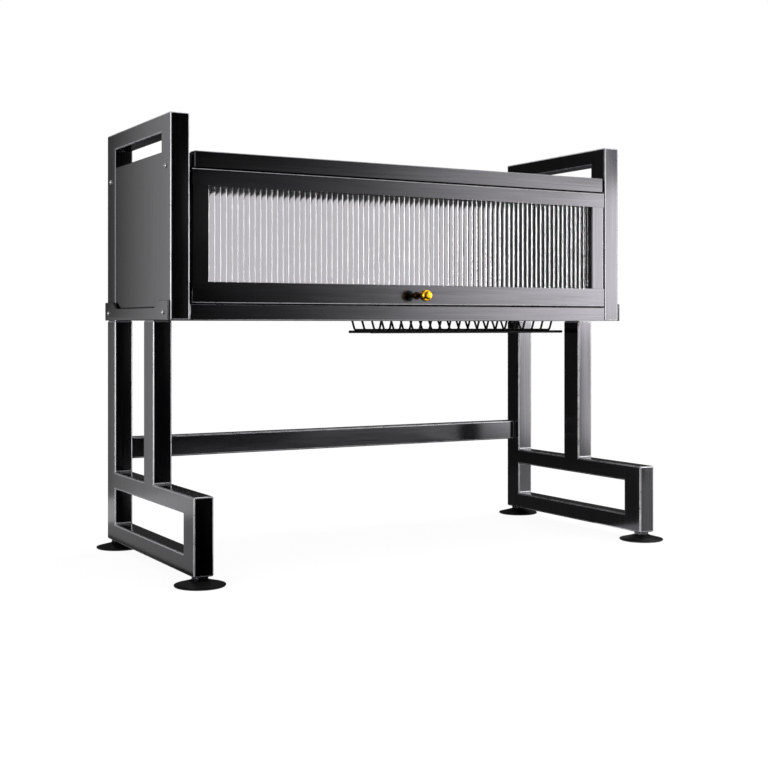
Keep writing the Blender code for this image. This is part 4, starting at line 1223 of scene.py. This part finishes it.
class RACK_OT_feet(bpy.types.Operator):
    """Round rubber pads, threaded studs with their nuts, and the inserts above them"""

    bl_idname = "rack.feet"
    bl_label = "Levelling feet"
    bl_options = {"REGISTER", "UNDO"}

    def execute(self, context):
        for side in SIDES:
            for end in ENDS:
                self.pad(f"{side}_{end}_foot_pad")
                self.stud(f"{side}_{end}_foot_stud")
                merged_copy(f"{side}_{end}_foot_insert", finish_for("zinc"))
        return {"FINISHED"}

    def pad(self, node):
        """A round rubber pad with a hollow for the stud's foot."""
        low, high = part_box(node)
        radius = (high.y - low.y) / 2
        profile = [(share * radius, level * (high.z - low.z)) for share, level in PAD_SHARES]
        at = ((low.x + high.x) / 2, (low.y + high.y) / 2, low.z)
        soft = eased(profile, PAD_EASE, 3)
        seat(turned(f"{node}_look", soft, finish_for("rubber"), at, sides=PAD_SIDES), node)

    def stud(self, node):
        """A threaded stud with a plain foot, and a hexagon nut whose corners are turned down."""
        low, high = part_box(node)
        at = Vector(((low.x + high.x) / 2, (low.y + high.y) / 2, low.z))
        top = high.z - low.z
        bm = bmesh.new()
        profile = [(0, 0), (STUD_FOOT_RADIUS, 0), (STUD_FOOT_RADIUS, NUT_LOW), (THREAD_CORE, NUT_LOW)]
        spun(bm, profile + [(THREAD_CORE, top), (0, top)], STUD_SIDES)
        self.thread(bm, NUT_HIGH, top - THREAD_END)
        self.nut(bm, NUT_LOW, NUT_HIGH)
        bmesh.ops.translate(bm, vec=at, verts=bm.verts)
        seat(new_piece(f"{node}_look", bm, finish_for("dark_zinc"), STUD_SMOOTH), node)

    def thread(self, bm, low, high):
        """A ridge that winds up the stud at the thread's pitch, and runs out over half a turn at both
        ends."""
        pitch = sizes().thread_pitch
        last = int(((high - low) / pitch - 1) * THREAD_STEPS)
        root = THREAD_CORE - THREAD_SINK
        rings = []
        for number in range(last + 1):
            angle = math.tau * number / THREAD_STEPS
            level = low + pitch * (number / THREAD_STEPS + 0.5)
            ends = min(number, last - number) / (THREAD_STEPS / 2)
            reach = THREAD_CORE + (STUD_RADIUS - THREAD_CORE) * min(1, ends)
            ring = []
            for radius, rise in (
                (root, -THREAD_FOOT),
                (reach, -THREAD_CREST),
                (reach, THREAD_CREST),
                (root, THREAD_FOOT),
            ):
                ring.append(bm.verts.new(around(radius, angle, level + rise * pitch)))
            rings.append(ring)
        loft(bm, rings)

    def nut(self, bm, low, high):
        """A hexagon nut: each corner is turned down by a cone at both ends."""
        flat = NUT_RADIUS * math.cos(math.pi / 6)
        rings = []
        for level, limit in (
            (low, flat),
            (low + NUT_CONE, NUT_RADIUS),
            (high - NUT_CONE, NUT_RADIUS),
            (high, flat),
        ):
            ring = []
            for number in range(NUT_STEPS):
                angle = math.tau * number / NUT_STEPS
                radius = min(flat / math.cos((angle % (math.pi / 3)) - math.pi / 6), limit)
                ring.append(bm.verts.new(around(radius, angle, level)))
            rings.append(ring)
        loft(bm, rings)


class RACK_OT_screws(bpy.types.Operator):
    """Cross-recessed screws on both sides"""

    bl_idname = "rack.screws"
    bl_label = "Side screws"
    bl_options = {"REGISTER", "UNDO"}

    def execute(self, context):
        nodes = [
            f"{side}_{end}_{level}_screw" for side in SIDES for end in ENDS for level in ("low", "high")
        ]
        places = []
        facings = []
        for node in nodes:
            low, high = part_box(node)
            outer = -1 if node.startswith("left") else 1
            tip = low.x if outer < 0 else high.x
            places.append((tip, (low.y + high.y) / 2, (low.z + high.z) / 2))
            facings.append((outer, 0, 0))
        mesh = bpy.data.meshes.new("side_screw_places")
        mesh.from_pydata(places, [], [])
        facing = mesh.attributes.new("facing", "FLOAT_VECTOR", "POINT")
        for item, direction in zip(facing.data, facings):
            item.vector = direction
        pattern = self.screw((high.y - low.y) / 2, high.x - low.x)
        values = {"Screw": pattern, "Material": finish_for("zinc")}
        screws = grow("side_screws_look", mesh, screw_tree(), values)
        bpy.data.objects.remove(pattern)
        smooth_piece(screws, SCREW_SMOOTH)
        seat(screws, *nodes)
        return {"FINISHED"}

    def screw(self, radius, whole):
        """A pan head with a cross recess, its crown at the origin and its shank along -Z."""
        head = SCREW_HEAD_HEIGHT
        profile = [(0, 0)]
        for step in range(1, SCREW_CROWN_STEPS + 1):
            angle = math.radians(90 * step / SCREW_CROWN_STEPS)
            profile.append((radius * math.sin(angle), (head - SCREW_RIM) * (math.cos(angle) - 1)))
        profile += [(radius, -head), (SCREW_SHANK, -head), (SCREW_SHANK, -whole), (0, -whole)]
        pattern = turned("screw_pattern", profile, finish_for("zinc"), (0, 0, 0), sides=SCREW_SIDES)
        for turn in (0, math.pi / 2):
            bm = bmesh.new()
            bmesh.ops.create_cube(bm, size=1)
            for vert in bm.verts:
                share = CROSS_NARROW if vert.co.z < 0 else 1
                vert.co.x *= CROSS_LENGTH * radius * share
                vert.co.y *= CROSS_WIDTH * radius * share
                vert.co.z = CROSS_TOP if vert.co.z > 0 else -CROSS_DEPTH
            bmesh.ops.rotate(bm, cent=(0, 0, 0), matrix=Matrix.Rotation(turn, 3, "Z"), verts=bm.verts)
            recess = new_piece("screw_recess", bm, finish_for("zinc"))
            hole = pattern.modifiers.new("recess", "BOOLEAN")
            hole.operation = "DIFFERENCE"
            hole.object = recess
            hole.solver = "EXACT"
            apply_modifiers(pattern)
            bpy.data.objects.remove(recess)
        return pattern


OPERATORS = [
    RACK_OT_stage,
    RACK_OT_side_frames,
    RACK_OT_cabinet,
    RACK_OT_door,
    RACK_OT_glass,
    RACK_OT_knob,
    RACK_OT_wire_racks,
    RACK_OT_feet,
    RACK_OT_screws,
]


class RACK_PT_panel(bpy.types.Panel):
    """Lists the rack's operators, sizes and colours"""

    bl_idname = "RACK_PT_panel"
    bl_label = "Dish Rack"
    bl_space_type = "VIEW_3D"
    bl_region_type = "UI"
    bl_category = "Dish Rack"

    def draw(self, context):
        layout = self.layout
        for group in (context.scene.rack_sizes, context.scene.rack_colours):
            for name in group.__annotations__:
                layout.prop(group, name)
        for operator in OPERATORS:
            layout.operator(operator.bl_idname)


CLASSES = [RackSizes, RackColours, *OPERATORS, RACK_PT_panel]


def register():
    for item in CLASSES:
        bpy.utils.register_class(item)
    bpy.types.Scene.rack_sizes = bpy.props.PointerProperty(type=RackSizes)
    bpy.types.Scene.rack_colours = bpy.props.PointerProperty(type=RackColours)


def unregister():
    del bpy.types.Scene.rack_colours
    del bpy.types.Scene.rack_sizes
    for item in reversed(CLASSES):
        bpy.utils.unregister_class(item)


def main():
    register()
    for operator in OPERATORS:
        group, name = operator.bl_idname.split(".")
        getattr(getattr(bpy.ops, group), name)()


if __name__ == "__main__":
    main()
